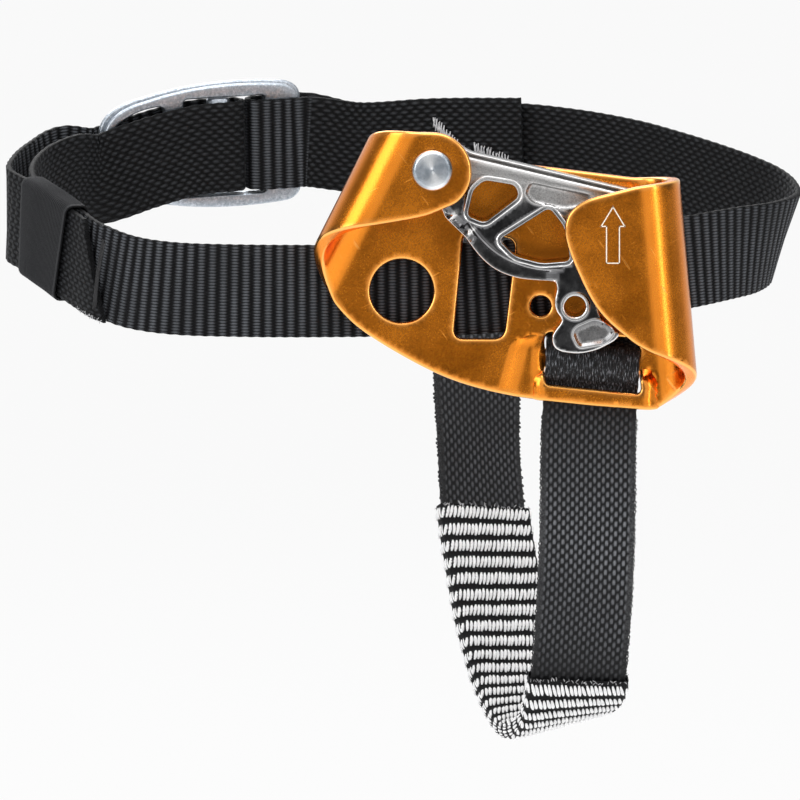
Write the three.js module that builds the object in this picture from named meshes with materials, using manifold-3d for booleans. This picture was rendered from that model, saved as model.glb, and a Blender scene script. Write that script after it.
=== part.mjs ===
// Foot ascender: a folded aluminium frame with a sprung toothed cam, an ankle strap with
// a double-back buckle and an elastic keeper, and an under-foot strap in a wear sleeve.
// Millimetres, +Z up. The frame's plate lies in the XZ plane and its front faces -Y.
// The origin is the middle of the ankle loop, level with the middle of its front stretch.
import * as THREE from 'three';
import { mergeVertices } from 'three/addons/utils/BufferGeometryUtils.js';
import Module from 'manifold-3d';

const wasm = await Module();
wasm.setup();

// ---------------------------------------------------------------- driving dimensions
const SHEET = 2.8;             // thickness of the frame's folded sheet
const CHANNEL = 13.6;          // clear space between the plate and the front flaps
const PLATE_FRONT_Y = -52.2;   // where the plate's front face lies
const BEND_OUTER = CHANNEL / 2 + SHEET;
const BEND_STEPS = 12;         // facets round each folded side
const LEFT_LEAN = 26.8;        // lean of the left fold from upright, degrees
const RIGHT_LEAN = -5;         // lean of the right fold, degrees
const LEFT_BEND = 11.8;        // distance of the left bend line from the plate's datum
const RIGHT_BEND = 53.1;       // the same for the right bend line
const JOGGLE = 2.5;            // how far the lower bar stands forward of the plate

const PIVOT_X = 7.0;           // cam pivot, in plate coordinates
const PIVOT_Z = 27.5;
const RIVET_RADIUS = 3.2;
const RIVET_BORE = 3.5;
const RIVET_HEAD = 4.4;
const RIVET_HEAD_HEIGHT = 1.1;
const BUSH_RADIUS = 4.6;
const BUSH_BORE = 4.9;
const CAM_FRONT = -11.0;       // cam faces, measured from the plate's front face
const CAM_BACK = -2.8;
const SPRING_POCKET = 6.5;     // radius of the pocket in the cam's back for its spring
const SPRING_POCKET_DEPTH = 3.2;
const SPRING_WIRE = 0.45;      // wire radius
const SPRING_COIL = 5.7;       // coil radius at the wire's middle
const SPRING_TURNS = 3.25;
const CLEAR = 0.3;             // gap between pieces that touch

const STRAP_WIDTH = 20;        // ankle webbing
const FOOT_WIDTH = 20.3;       // under-foot webbing
const WEBBING = 1.5;           // thickness of both webbings
const LAYER = WEBBING + 0.5;   // spacing of two layers of webbing
const SLEEVE_WALL = 0.85;
const KEEPER_WALL = 0.8;
const KEEPER_DEPTH = 2 * WEBBING + 0.5 + 2 * (0.5 + KEEPER_WALL);
const LOOP_SLOPE = 0.265;      // rise of the ankle loop from front to back

const BUCKLE_PLATE = 1.6;      // thickness of each of the buckle's two plates
const BUCKLE_GAP = 0.3;        // space between the two plates
const BUCKLE_LENGTH = 46;
const BUCKLE_HEIGHT = 29.2;
const BUCKLE_BAR_X = 4.1;      // middle of the loose bar that grips the webbing
const BUCKLE_BAR_WIDTH = 5.0;
const BUCKLE_BAR_DEPTH = 3.2;
const BUCKLE_WINDOW_HALF = 10.9;
const BUCKLE_SIDE_BAR = 14.5;  // left edge of the sewn bar, from the buckle's middle
const BUCKLE_STRAP_Y = BUCKLE_PLATE + BUCKLE_GAP / 2 + 0.4 + WEBBING / 2;

const ORANGE = { color: 0xc4701a, roughness: 0.32, metalness: 0.9 };
const STEEL = { color: 0x8c8f92, roughness: 0.25, metalness: 1.0 };
const BUCKLE_METAL = { color: 0xa7b0b8, roughness: 0.45, metalness: 0.9 };
const BLACK_WEBBING = { color: 0x1d1d1f, roughness: 0.9, metalness: 0.0 };
const STRIPED = { color: 0xb5b5b5, roughness: 0.9, metalness: 0.0 };
const GREY_THREAD = { color: 0xb9b9bb, roughness: 0.8, metalness: 0.0 };

// ---------------------------------------------------------------- small tools
const degrees = (angle) => angle * Math.PI / 180;

function toSolid(geometry) {
  const bare = geometry.clone();
  bare.deleteAttribute('normal');
  bare.deleteAttribute('uv');
  const merged = mergeVertices(bare, 1e-4);
  const vertProperties = new Float32Array(merged.attributes.position.array);
  const triVerts = new Uint32Array(merged.index.array);
  return new wasm.Manifold(new wasm.Mesh({ numProp: 3, vertProperties, triVerts }));
}

function toGeometry(solid) {
  const mesh = solid.getMesh();
  const geometry = new THREE.BufferGeometry();
  geometry.setAttribute('position', new THREE.BufferAttribute(mesh.vertProperties.slice(), 3));
  geometry.setIndex(new THREE.BufferAttribute(mesh.triVerts.slice(), 1));
  return geometry;
}

function named(name, geometry, look) {
  geometry.computeVertexNormals();
  const mesh = new THREE.Mesh(geometry, new THREE.MeshStandardMaterial(look));
  mesh.name = name;
  return mesh;
}

// A flat outline in the XZ plane, thickened from yFront to yBack.
function slab(shape, yFront, yBack, curveSegments = 4) {
  const geometry = new THREE.ExtrudeGeometry(shape, {
    depth: yBack - yFront, bevelEnabled: false, curveSegments,
  });
  geometry.rotateX(Math.PI / 2);
  geometry.translate(0, yBack, 0);
  return toSolid(geometry);
}

// A ring or disc about the Y axis through (x, z); profile is [radius, y] pairs.
function turned(profile, x, z, segments = 28) {
  const points = profile.map(([radius, y]) => new THREE.Vector2(radius, y));
  const geometry = new THREE.LatheGeometry(points, segments);
  geometry.translate(x, 0, z);
  return geometry;
}

function ringProfile(inner, outer, low, high) {
  return [[inner, low], [outer, low], [outer, high], [inner, high], [inner, low]];
}

function roundHole(x, z, radius) {
  const hole = new THREE.Shape();
  hole.absarc(x, z, radius, 0, 2 * Math.PI, false);
  return hole;
}

// A polygon with every corner rounded by the same radius.
function roundedPolygon(corners, radius) {
  const points = corners.map(([x, z]) => new THREE.Vector2(x, z));
  const shape = new THREE.Shape();
  points.forEach((corner, index) => {
    const before = points[(index + points.length - 1) % points.length];
    const after = points[(index + 1) % points.length];
    const start = corner.clone().add(before.clone().sub(corner).setLength(radius));
    const end = corner.clone().add(after.clone().sub(corner).setLength(radius));
    if (index === 0) shape.moveTo(start.x, start.y);
    else shape.lineTo(start.x, start.y);
    shape.quadraticCurveTo(corner.x, corner.y, end.x, end.y);
  });
  shape.closePath();
  return shape;
}

// Joins rings of points, one ring for each section, into one closed body.
// A ring with a hole lists its outer corners and then its inner corners.
function skin(rings, hollow = false) {
  const count = rings[0].length;
  const half = count / 2;
  const positions = rings.flat().flatMap((p) => [p.x, p.y, p.z]);
  const index = [];
  const quad = (a, b, c, d) => index.push(a, b, c, a, c, d);
  const loops = hollow ? [[0, half, 1], [half, half, -1]] : [[0, count, 1]];
  for (let ring = 0; ring < rings.length - 1; ring += 1) {
    for (const [start, size, way] of loops) {
      for (let k = 0; k < size; k += 1) {
        const a = ring * count + start + k;
        const b = ring * count + start + (k + 1) % size;
        if (way > 0) quad(a, b, b + count, a + count);
        else index.push(a, b + count, b, a, a + count, b + count);
      }
    }
  }
  const last = (rings.length - 1) * count;
  if (hollow) {
    for (let k = 0; k < half; k += 1) {
      const next = (k + 1) % half;
      quad(next, k, half + k, half + next);
      quad(last + k, last + next, last + half + next, last + half + k);
    }
  } else {
    for (let k = 1; k < count - 1; k += 1) {
      index.push(0, k + 1, k);
      index.push(last, last + k, last + k + 1);
    }
  }
  const geometry = new THREE.BufferGeometry();
  geometry.setAttribute('position', new THREE.Float32BufferAttribute(positions, 3));
  geometry.setIndex(index);
  return geometry;
}

// ---------------------------------------------------------------- routes of webbing
// A route is a smooth line through stations, each with the direction of the webbing's width.
class Route {
  constructor(stations, breaks = [], spacing = 5) {
    this.last = stations.length - 1;
    this.middle = new THREE.CatmullRomCurve3(stations.map((s) => s.at));
    this.across = new THREE.CatmullRomCurve3(stations.map((s) => s.across));
    this.grid = this.spread([0, ...breaks, this.last], spacing);
  }

  // Places along the route, closer together where it bends, that every piece on it shares.
  spread(breaks, spacing) {
    const list = [0];
    const step = 0.02;
    const limit = degrees(20);
    breaks.slice(1).forEach((end, index) => {
      let previous = list[list.length - 1];
      for (let s = breaks[index] + step; s < end - step; s += step) {
        const gap = this.frame(s).at.distanceTo(this.frame(previous).at);
        const bend = this.frame(s).along.angleTo(this.frame(previous).along);
        if (gap > spacing || bend > limit) {
          list.push(s);
          previous = s;
        }
      }
      list.push(end);
    });
    return list;
  }

  frame(station) {
    const t = THREE.MathUtils.clamp(station / this.last, 0, 1);
    const at = this.middle.getPoint(t);
    const along = this.middle.getTangent(t);
    const rough = this.across.getPoint(t).normalize();
    const normal = new THREE.Vector3().crossVectors(along, rough).normalize();
    const across = new THREE.Vector3().crossVectors(normal, along).normalize();
    return { at, along, across, normal };
  }

  // A point beside the route, in the layer above or below it.
  beside(station, offset, shift = 0) {
    const { at, across, normal } = this.frame(station);
    return at.clone().addScaledVector(normal, offset).addScaledVector(across, shift);
  }

  samples(from, to) {
    const small = 1e-6;
    return [from, ...this.grid.filter((s) => s > from + small && s < to - small), to];
  }

  ring(station, width, thickness, offset, shift) {
    const corners = [[-1, -1], [1, -1], [1, 1], [-1, 1]];
    return corners.map(([side, face]) => this.beside(
      station,
      offset + face * thickness / 2,
      shift + side * width / 2,
    ));
  }

  ribbon({ from = 0, to = this.last, width, thickness, offset = 0, shift = [0, 0] }) {
    const slide = (s) => THREE.MathUtils.mapLinear(s, from, to, shift[0], shift[1]);
    return skin(this.samples(from, to).map(
      (s) => this.ring(s, width, thickness, offset, slide(s)),
    ));
  }

  tube({ from, to, width, thickness, wall, offset = 0 }) {
    return skin(this.samples(from, to).map((s) => [
      ...this.ring(s, width, thickness, offset, 0),
      ...this.ring(s, width - 2 * wall, thickness - 2 * wall, offset, 0),
    ]), true);
  }
}

const station = (x, y, z, across = [0, 0, 1]) => ({
  at: new THREE.Vector3(x, y, z),
  across: new THREE.Vector3(...across),
});

// ---------------------------------------------------------------- frame (shell)
// Plate coordinates of a point n outwards of the datum and u along a leaning fold.
function foldPoint(side, n, u) {
  const lean = degrees(side < 0 ? LEFT_LEAN : RIGHT_LEAN);
  return [
    side * n * Math.cos(lean) + u * Math.sin(lean),
    -side * n * Math.sin(lean) + u * Math.cos(lean),
  ];
}

// One rolled side: half a turn of sheet whose ends are cut on a slant.
function foldedSide(side, bend, plateEnds, flapEnds) {
  const rings = [];
  const inset = 0.8;
  const overlap = 1.0;
  const ring = (nInner, yInner, nOuter, yOuter, low, high) => {
    const corners = [[nInner, yInner, low], [nOuter, yOuter, low],
      [nOuter, yOuter, high], [nInner, yInner, high]];
    const points = corners.map(([n, y, u]) => {
      const [x, z] = foldPoint(side, n, u);
      return new THREE.Vector3(x, y, z);
    });
    rings.push(side < 0 ? points.reverse() : points);
  };
  const middle = -CHANNEL / 2;
  const inner = CHANNEL / 2;
  ring(bend - overlap, 0, bend - overlap, SHEET, plateEnds[0] + inset, plateEnds[1] - inset);
  for (let step = 0; step <= BEND_STEPS; step += 1) {
    const part = step / BEND_STEPS;
    const angle = part * Math.PI;
    const low = THREE.MathUtils.lerp(plateEnds[0], flapEnds[0], part);
    const high = THREE.MathUtils.lerp(plateEnds[1], flapEnds[1], part);
    ring(
      bend + inner * Math.sin(angle),
      middle + inner * Math.cos(angle),
      bend + BEND_OUTER * Math.sin(angle),
      middle + BEND_OUTER * Math.cos(angle),
      low,
      high,
    );
  }
  ring(bend - overlap, -CHANNEL, bend - overlap, -CHANNEL - SHEET, flapEnds[0] + inset,
    flapEnds[1] - inset);
  return toSolid(skin(rings));
}

const LEFT_PLATE_ENDS = [-8.7, 22];
const LEFT_FLAP_ENDS = [11.5, 34];
const RIGHT_PLATE_ENDS = [-30.5, 20.2];
const RIGHT_FLAP_ENDS = [-16.9, 19.3];

const splinePoints = (list) => list.map(([x, z]) => new THREE.Vector2(x, z));

function plateOutline() {
  const shape = new THREE.Shape();
  shape.moveTo(...foldPoint(-1, LEFT_BEND, LEFT_PLATE_ENDS[1]));
  shape.lineTo(...foldPoint(-1, LEFT_BEND, LEFT_PLATE_ENDS[0]));
  shape.splineThru(splinePoints([[-9.6, -7.4], [-1.3, -12.9], [8.9, -18.2], [18.9, -21.5],
    [28.9, -23.3], [42.4, -24.8]]));
  shape.lineTo(...foldPoint(1, RIGHT_BEND, RIGHT_PLATE_ENDS[0]));
  shape.lineTo(...foldPoint(1, RIGHT_BEND, RIGHT_PLATE_ENDS[1]));
  shape.lineTo(28.3, 27.6);
  shape.lineTo(15.5, 29.3);
  shape.absarc(PIVOT_X, PIVOT_Z, 6.6, degrees(20), degrees(150), false);
  shape.closePath();
  return shape;
}

// The long lower slot, open downwards here because the bar below it is joggled forward.
const LOWER_SLOT = [[31, -15.8], [52.6, -17.6], [53.2, -22.4], [50, -30], [29.2, -30], [31, -20]];
const UPPER_SLOT = [[30.9, -8.8], [52.4, -10.4], [52.4, -15.0], [30.9, -13.2]];
const TALL_SLOT = [[13.9, 13.2], [25.2, 11.4], [22.6, -10.2], [11.6, -10.2]];
const BAR_TOP = [[27, -19.4], [53, -22.2], [60, -22.2], [60, -36], [27, -36]];

// Outline of the space that the bar's end may fill beyond the blank's edge.
const BAR_SIDE_ROOM = [[53, -25.9], [60, -25.2], [60, -20], [53, -20]];

function lowerBar() {
  const ramp = 2.0;
  const start = 29.2;
  const end = 58;
  const profile = new THREE.Shape([
    [start - 1.6, 0], [start, 0], [start + ramp, -JOGGLE], [end, -JOGGLE],
    [end, SHEET - JOGGLE], [start + ramp, SHEET - JOGGLE], [start, SHEET], [start - 1.6, SHEET],
  ].map(([x, y]) => new THREE.Vector2(x, y)));
  const geometry = new THREE.ExtrudeGeometry(profile, { depth: 30, bevelEnabled: false });
  geometry.translate(0, 0, -40);
  const outline = plateOutline();
  const wide = new THREE.Shape([...outline.getPoints(4)]);
  const region = slab(new THREE.Shape(splinePoints(BAR_TOP)), -5, 5);
  const sideRoom = slab(new THREE.Shape(splinePoints(BAR_SIDE_ROOM)), -5, 5);
  return toSolid(geometry).intersect(slab(wide, -5, 5).add(sideRoom)).intersect(region);
}

function flapOutline() {
  const shape = new THREE.Shape();
  shape.moveTo(...foldPoint(1, RIGHT_BEND, RIGHT_FLAP_ENDS[1]));
  shape.lineTo(45.2, 22.3);
  shape.splineThru(splinePoints([[40.0, 20.8], [36.6, 18.0], [35.7, 14.6], [36.5, 10.5],
    [38.9, 4.6], [41.9, -1.3], [45.2, -5.4], [51.1, -10.4]]));
  shape.lineTo(...foldPoint(1, RIGHT_BEND, RIGHT_FLAP_ENDS[0]));
  shape.closePath();
  return shape;
}

function lobeOutline() {
  const shape = new THREE.Shape();
  shape.moveTo(...foldPoint(-1, LEFT_BEND, LEFT_FLAP_ENDS[0]));
  shape.splineThru(splinePoints([[0.3, 16.5], [5.7, 17.6], [10.6, 19.6]]));
  shape.absarc(PIVOT_X, PIVOT_Z - 0.4, 8.6, degrees(-55), degrees(82), false);
  shape.lineTo(...foldPoint(-1, LEFT_BEND, LEFT_FLAP_ENDS[1]));
  shape.closePath();
  return shape;
}

function frameShell() {
  const plate = plateOutline();
  plate.holes.push(
    roundHole(0.4, 0.2, 6.9),
    roundHole(30.6, -3.1, 2.2),
    roundHole(PIVOT_X, PIVOT_Z, RIVET_BORE),
    roundedPolygon(TALL_SLOT, 2.2),
    roundedPolygon(UPPER_SLOT, 1.9),
  );
  const lobe = lobeOutline();
  lobe.holes.push(roundHole(PIVOT_X, PIVOT_Z, RIVET_BORE));
  const notch = slab(roundedPolygon(LOWER_SLOT, 0.8), -6, 6);
  return slab(plate, 0, SHEET)
    .subtract(notch)
    .add(lowerBar())
    .add(slab(lobe, -CHANNEL - SHEET, -CHANNEL))
    .add(slab(flapOutline(), -CHANNEL - SHEET, -CHANNEL))
    .add(foldedSide(-1, LEFT_BEND, LEFT_PLATE_ENDS, LEFT_FLAP_ENDS))
    .add(foldedSide(1, RIGHT_BEND, RIGHT_PLATE_ENDS, RIGHT_FLAP_ENDS));
}

// ---------------------------------------------------------------- cam and its pivot
function camOutline() {
  const shape = new THREE.Shape();
  const hub = 7.4;
  shape.absarc(PIVOT_X, PIVOT_Z, hub, degrees(72), degrees(282), false);
  shape.lineTo(9.7, 17.0);
  shape.lineTo(11.5, 15.2);
  shape.lineTo(14.2, 12.6);
  shape.splineThru(splinePoints([[17.2, 8.6], [20.7, 5.6], [25.2, 3.8], [30.0, 3.2]]));
  shape.lineTo(33.8, 3.0);
  shape.splineThru(splinePoints([[34.1, 1.4], [33.6, -1.4], [34.0, -3.6], [35.2, -5.4],
    [34.0, -7.3], [33.0, -9.2], [34.0, -11.8], [38.3, -12.7], [42.6, -11.9], [46.6, -9.9]]));
  shape.lineTo(47.9, -8.4);
  shape.splineThru(splinePoints([[46.2, -6.9], [43.6, -4.8], [43.2, -1.0], [45.0, 1.8]]));
  shape.lineTo(49.2, 4.6);
  shape.splineThru(splinePoints([[50.9, 9.0], [52.0, 14.5], [52.5, 20.6]]));
  shape.lineTo(51.4, 22.5);
  shape.lineTo(15.4, 31.0);
  shape.closePath();
  return shape;
}

const CAM_WINDOW_UPPER = [
  [15.9, 22.9], [18.3, 25.0], [25.0, 23.9], [25.8, 21.4], [18.3, 15.7], [14.6, 17.2],
];
const CAM_WINDOW_LOWER = [
  [32.4, 19.0], [35.6, 14.9], [37.0, 7.4], [30.7, 6.9], [25.0, 8.4], [21.4, 12.0],
];

function cam() {
  const shape = camOutline();
  shape.holes.push(
    roundHole(PIVOT_X, PIVOT_Z, BUSH_BORE),
    roundHole(38.0, -2.5, 2.3),
    roundedPolygon(CAM_WINDOW_UPPER, 1.2),
    roundedPolygon(CAM_WINDOW_LOWER, 1.4),
  );
  const pocket = toSolid(turned(
    [[0, CAM_BACK - SPRING_POCKET_DEPTH], [SPRING_POCKET, CAM_BACK - SPRING_POCKET_DEPTH],
      [SPRING_POCKET, CAM_BACK + 1], [0, CAM_BACK + 1]],
    PIVOT_X,
    PIVOT_Z,
  ));
  return slab(shape, CAM_FRONT, CAM_BACK, 6).subtract(pocket);
}

function rivet() {
  const front = -CHANNEL - SHEET - CLEAR;
  const back = SHEET + CLEAR + 0.9;
  const dome = RIVET_HEAD - 0.6;
  return turned([
    [0, front - RIVET_HEAD_HEIGHT], [dome, front - RIVET_HEAD_HEIGHT],
    [RIVET_HEAD, front - RIVET_HEAD_HEIGHT + 0.6], [RIVET_HEAD, front],
    [RIVET_RADIUS, front], [RIVET_RADIUS, back + CLEAR], [RIVET_HEAD, back + CLEAR],
    [dome, back + CLEAR + RIVET_HEAD_HEIGHT], [0, back + CLEAR + RIVET_HEAD_HEIGHT],
  ], PIVOT_X, PIVOT_Z);
}

class Helix extends THREE.Curve {
  getPoint(t) {
    const angle = t * SPRING_TURNS * 2 * Math.PI;
    const rise = SPRING_POCKET_DEPTH - 2 * SPRING_WIRE - 0.2;
    return new THREE.Vector3(
      PIVOT_X + SPRING_COIL * Math.cos(angle),
      CAM_BACK - SPRING_POCKET_DEPTH + SPRING_WIRE + 0.2 + t * (rise + 1.6),
      PIVOT_Z + SPRING_COIL * Math.sin(angle),
    );
  }
}

function spring() {
  const wire = new THREE.Shape();
  const sides = 8;
  for (let k = 0; k < sides; k += 1) {
    const angle = k * 2 * Math.PI / sides;
    const x = SPRING_WIRE * Math.cos(angle);
    const y = SPRING_WIRE * Math.sin(angle);
    if (k === 0) wire.moveTo(x, y);
    else wire.lineTo(x, y);
  }
  wire.closePath();
  return new THREE.ExtrudeGeometry(wire, { steps: 66, extrudePath: new Helix(), bevelEnabled: false });
}

// ---------------------------------------------------------------- buckle
// The buckle has a frame of its own: x along the strap, y outwards, z up.
const buckle = new THREE.Group();
buckle.position.set(-44, 41.6, 26.0);
buckle.rotation.order = 'ZYX';
buckle.rotation.set(degrees(7), degrees(-2.7), degrees(15));
buckle.updateMatrixWorld(true);

const inBuckle = (x, y, z = 0) => new THREE.Vector3(x, y, z).applyMatrix4(buckle.matrixWorld);
const buckleUp = inBuckle(0, 0, 1).sub(inBuckle(0, 0, 0));
const buckleStation = (x, y, z = 0) => ({ at: inBuckle(x, y, z), across: buckleUp.clone() });

// Half a turn of webbing round a bar, from one face of the buckle to the other.
function turnAround(x, side) {
  return [-60, -30, 0, 30, 60].map((angle) => buckleStation(
    x + side * BUCKLE_STRAP_Y * Math.cos(degrees(angle)),
    BUCKLE_STRAP_Y * Math.sin(degrees(angle)),
  ));
}

function bucklePlateOutline(scale) {
  const shape = new THREE.Shape();
  const right = scale * BUCKLE_LENGTH / 2;
  const top = scale * BUCKLE_HEIGHT / 2;
  shape.moveTo(right - 3, -top + 1.2);
  shape.quadraticCurveTo(right, -top + 2, right, -top + 5);
  shape.lineTo(right, top - 5);
  shape.quadraticCurveTo(right, top - 1.6, right - 4, top - 1);
  shape.quadraticCurveTo(2, top + 0.8, -right + 10, top - 3);
  shape.quadraticCurveTo(-right, top - 5, -right, top - 11);
  shape.lineTo(-right, -top + 11);
  shape.quadraticCurveTo(-right, -top + 5, -right + 10, -top + 3);
  shape.quadraticCurveTo(2, -top - 0.8, right - 3, -top + 1.2);
  return shape;
}

const BUCKLE_WINDOW = [[-4.2, BUCKLE_WINDOW_HALF], [BUCKLE_SIDE_BAR, BUCKLE_WINDOW_HALF],
  [BUCKLE_SIDE_BAR, -BUCKLE_WINDOW_HALF], [-4.2, -BUCKLE_WINDOW_HALF]];
const PULL_HOLE = [
  [-20.4, 5.6], [-14.5, 9.0], [-8.2, 10.0], [-8.2, -10.0], [-14.5, -9.0], [-20.4, -5.6],
];

function bucklePlate(yFront, scale) {
  const shape = bucklePlateOutline(scale);
  shape.holes.push(roundedPolygon(BUCKLE_WINDOW, 1.0), roundedPolygon(PULL_HOLE, 2.4));
  return toGeometry(slab(shape, yFront, yFront + BUCKLE_PLATE, 6));
}

function buckleBar() {
  const halfWidth = BUCKLE_BAR_WIDTH / 2;
  const halfDepth = BUCKLE_BAR_DEPTH / 2;
  const shape = roundedPolygon([[-halfWidth, -halfDepth], [halfWidth, -halfDepth],
    [halfWidth, halfDepth], [-halfWidth, halfDepth]], 0.9);
  const length = 2 * (BUCKLE_WINDOW_HALF - CLEAR);
  const geometry = new THREE.ExtrudeGeometry(shape, {
    depth: length, bevelEnabled: false, curveSegments: 4,
  });
  geometry.translate(BUCKLE_BAR_X, 0, -length / 2);
  return geometry;
}

// ---------------------------------------------------------------- ankle strap route
const loopZ = (y) => LOOP_SLOPE * (y + 48);
const ring = (x, y, across) => station(x, y, loopZ(y), across);
const UP_FAR = [0, -0.12, 0.99];
const UP_RIGHT = [0.29, -0.06, 0.95];

const loopStations = [
  station(27.0, 44.7, 26.6, UP_FAR),            // sewn end, doubled back from the buckle
  station(8.0, 48.1, 26.3, UP_FAR),
  station(-9.0, 48.0, 25.4, UP_FAR),
  buckleStation(BUCKLE_LENGTH / 2 + 1, -BUCKLE_STRAP_Y),
  buckleStation(19.5, -BUCKLE_STRAP_Y),
  ...turnAround(BUCKLE_SIDE_BAR + 0.6, -1),
  buckleStation(19.5, BUCKLE_STRAP_Y),
  buckleStation(BUCKLE_LENGTH / 2 + 1, BUCKLE_STRAP_Y),
  station(-9.0, 50.9, 25.0, UP_FAR),
  station(8.0, 50.3, 25.6, UP_FAR),
  ring(27.8, 47.0, UP_FAR),
  ring(40, 42.7, UP_FAR),
  ring(52, 35.5, [0.05, -0.1, 0.99]),
  ring(60, 28.5, [0.1, -0.1, 0.99]),
  ring(68, 20.5, [0.17, -0.09, 0.98]),
  ring(75, 12.5, [0.22, -0.08, 0.97]),
  ring(80.4, 4.5, [0.27, -0.06, 0.96]),
  ring(83.4, -4, UP_RIGHT),
  station(83.4, -14, 9.3, UP_RIGHT),
  station(79.5, -24, 8.0, [0.22, -0.03, 0.97]),
  station(72.5, -33.5, 7.2, [0.1, 0, 1]),
  station(63.5, -42.5, 6.0),
  station(54, -47.6, 4.6),
  station(40, -48.3, 2.8),
  station(17, -48.3, 0.6),
  station(-8, -48.3, 0),
  station(-35, -48.3, 0),
  station(-50, -47.3, 0.5),
  station(-58.7, -43.3, 1.6),
  station(-65, -37.0, 3.6),                     // the tail ends beside here
  station(-69.6, -28.5, 6.0),
  station(-73.8, -20.5, 8.6),                   // keeper
  station(-77.6, -12.0, 10.6),                  // keeper
  station(-80.2, -3, 12.0),
  ring(-80.3, 6),
  ring(-77.3, 17, [0, -0.06, 1]),
  ring(-71.4, 26.0, [0.03, -0.12, 0.99]),
];
const TAIL_START = loopStations.length - 9;
const KEEPER_FROM = TAIL_START + 2.3;
const KEEPER_TO = TAIL_START + 4.6;
const loopRoute = new Route(loopStations);
const besideLoop = (index) => ({
  at: loopRoute.beside(index, -LAYER - 0.1),
  across: new THREE.Vector3(0, 0, 1),
});

const strapRoute = new Route([
  ...loopStations,
  buckleStation(-BUCKLE_LENGTH / 2 - 1, -BUCKLE_STRAP_Y - 0.2, -5.4),
  buckleStation(-14, -BUCKLE_STRAP_Y, -2.8),
  buckleStation(-2, -BUCKLE_STRAP_Y, -0.3),
  ...turnAround(BUCKLE_BAR_X + 1.4, 1),
  buckleStation(-2, BUCKLE_STRAP_Y, -0.3),
  buckleStation(-14, BUCKLE_STRAP_Y, -2.8),
  buckleStation(-BUCKLE_LENGTH / 2 - 1, BUCKLE_STRAP_Y, -5.0),
  ring(-74.2, 31.5),
  ring(-80.0, 22.5),
  ring(-84.2, 12.0),
  ring(-85.4, 2.5),
  besideLoop(TAIL_START + 4.75),
  besideLoop(TAIL_START + 4),
  besideLoop(TAIL_START + 3),
  besideLoop(TAIL_START + 2),
  besideLoop(TAIL_START + 1),
  besideLoop(TAIL_START + 0.4),
], [KEEPER_FROM, KEEPER_TO]);

// ---------------------------------------------------------------- foot strap route
const front = (x, y, z, across = [1, 0, -0.07]) => station(x, PLATE_FRONT_Y + y, z, across);
const TWISTED = [0.877, 0.48, 0];
const footStations = [
  front(43.2, 6.4, 9.0, [1, 0, 0]),             // sewn end, behind the ankle strap
  front(42.8, 6.4, 0, [1, 0, 0]),
  front(42.3, 6.4, -6.6),
  front(42.0, 4.8, -10.8),
  front(42.0, 1.4, -12.0),                      // through the upper slot
  front(41.9, -1.0, -12.9),
  front(41.8, -1.5, -15.6),                     // over the narrow web
  front(41.7, -0.6, -18.2),
  front(41.6, 1.0, -20.0),                      // through the lower slot
  front(41.4, 1.6, -22.8),
  front(41.0, 1.6, -32, [1, 0, 0]),             // behind the lower bar
  front(40.8, 1.6, -50, [1, 0, 0]),
  front(40.2, 2.0, -66, [1, 0, 0]),
  front(39.4, 3.6, -77, [1, 0.03, 0]),
  front(38.6, 7.2, -86, [0.98, 0.12, 0]),
  station(37.2, -38.4, -91.6, [0.95, 0.24, 0.12]),
  station(34.4, -29, -94.8, [0.92, 0.3, 0.22]),
  station(31.4, -18, -95.4, [0.91, 0.36, 0.2]),
  station(28.4, -9, -92.4, [0.9, 0.42, 0.1]),
  station(25.0, -1, -86, TWISTED),
  station(22.2, 5, -76, TWISTED),
  station(20.0, 10, -64, TWISTED),
  station(18.2, 15, -52, TWISTED),
  station(17.0, 23, -32, TWISTED),
  station(17.0, 35, -10, [0.95, 0.28, 0]),
  station(17.0, 47.0, 5, [1, 0.02, 0]),
  station(17.0, 52.6, 14.5, [1, -0.165, 0]),
  station(17.0, 52.5, 23, [1, -0.165, 0]),      // outside the ankle strap
  station(17.0, 51.2, 35, [1, -0.165, 0]),
];
const SLEEVE_FROM = 13.8;
const SLEEVE_TO = 22;
const footRoute = new Route(footStations, [SLEEVE_FROM, SLEEVE_TO]);

// Thread that stands on a face of the webbing, between two places along its route.
const STITCH = 0.6;
const onFace = (half) => half + CLEAR + STITCH / 2;
const bartack = (route, from, to, width, offset, shift = [0, 0]) => (
  route.ribbon({ from, to, width, thickness: STITCH, offset, shift })
);

// ---------------------------------------------------------------- assembly
const ascender = new THREE.Group();
const frameGroup = new THREE.Group();
frameGroup.position.y = PLATE_FRONT_Y;
frameGroup.add(
  named('shell', toGeometry(frameShell()), ORANGE),
  named('cam', toGeometry(cam()), STEEL),
  named('cam_rivet', rivet(), STEEL),
  named('pivot_bush', turned(ringProfile(
    RIVET_BORE, BUSH_RADIUS, -CHANNEL + CLEAR, -CLEAR), PIVOT_X, PIVOT_Z), STEEL),
  named('washer_front', turned(ringProfile(
    BUSH_BORE, 6.6, -CHANNEL + CLEAR, CAM_FRONT - CLEAR), PIVOT_X, PIVOT_Z), STEEL),
  named('rivet_washer', turned(ringProfile(
    RIVET_BORE, 5.4, SHEET + CLEAR, SHEET + CLEAR + 0.9), PIVOT_X, PIVOT_Z), STEEL),
  named('torsion_spring', spring(), STEEL),
);

buckle.add(
  named('buckle_frame', bucklePlate(BUCKLE_GAP / 2, 1), BUCKLE_METAL),
  named('buckle_slider', bucklePlate(-BUCKLE_GAP / 2 - BUCKLE_PLATE, 0.97), BUCKLE_METAL),
  named('buckle_bar', buckleBar(), BUCKLE_METAL),
);

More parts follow.
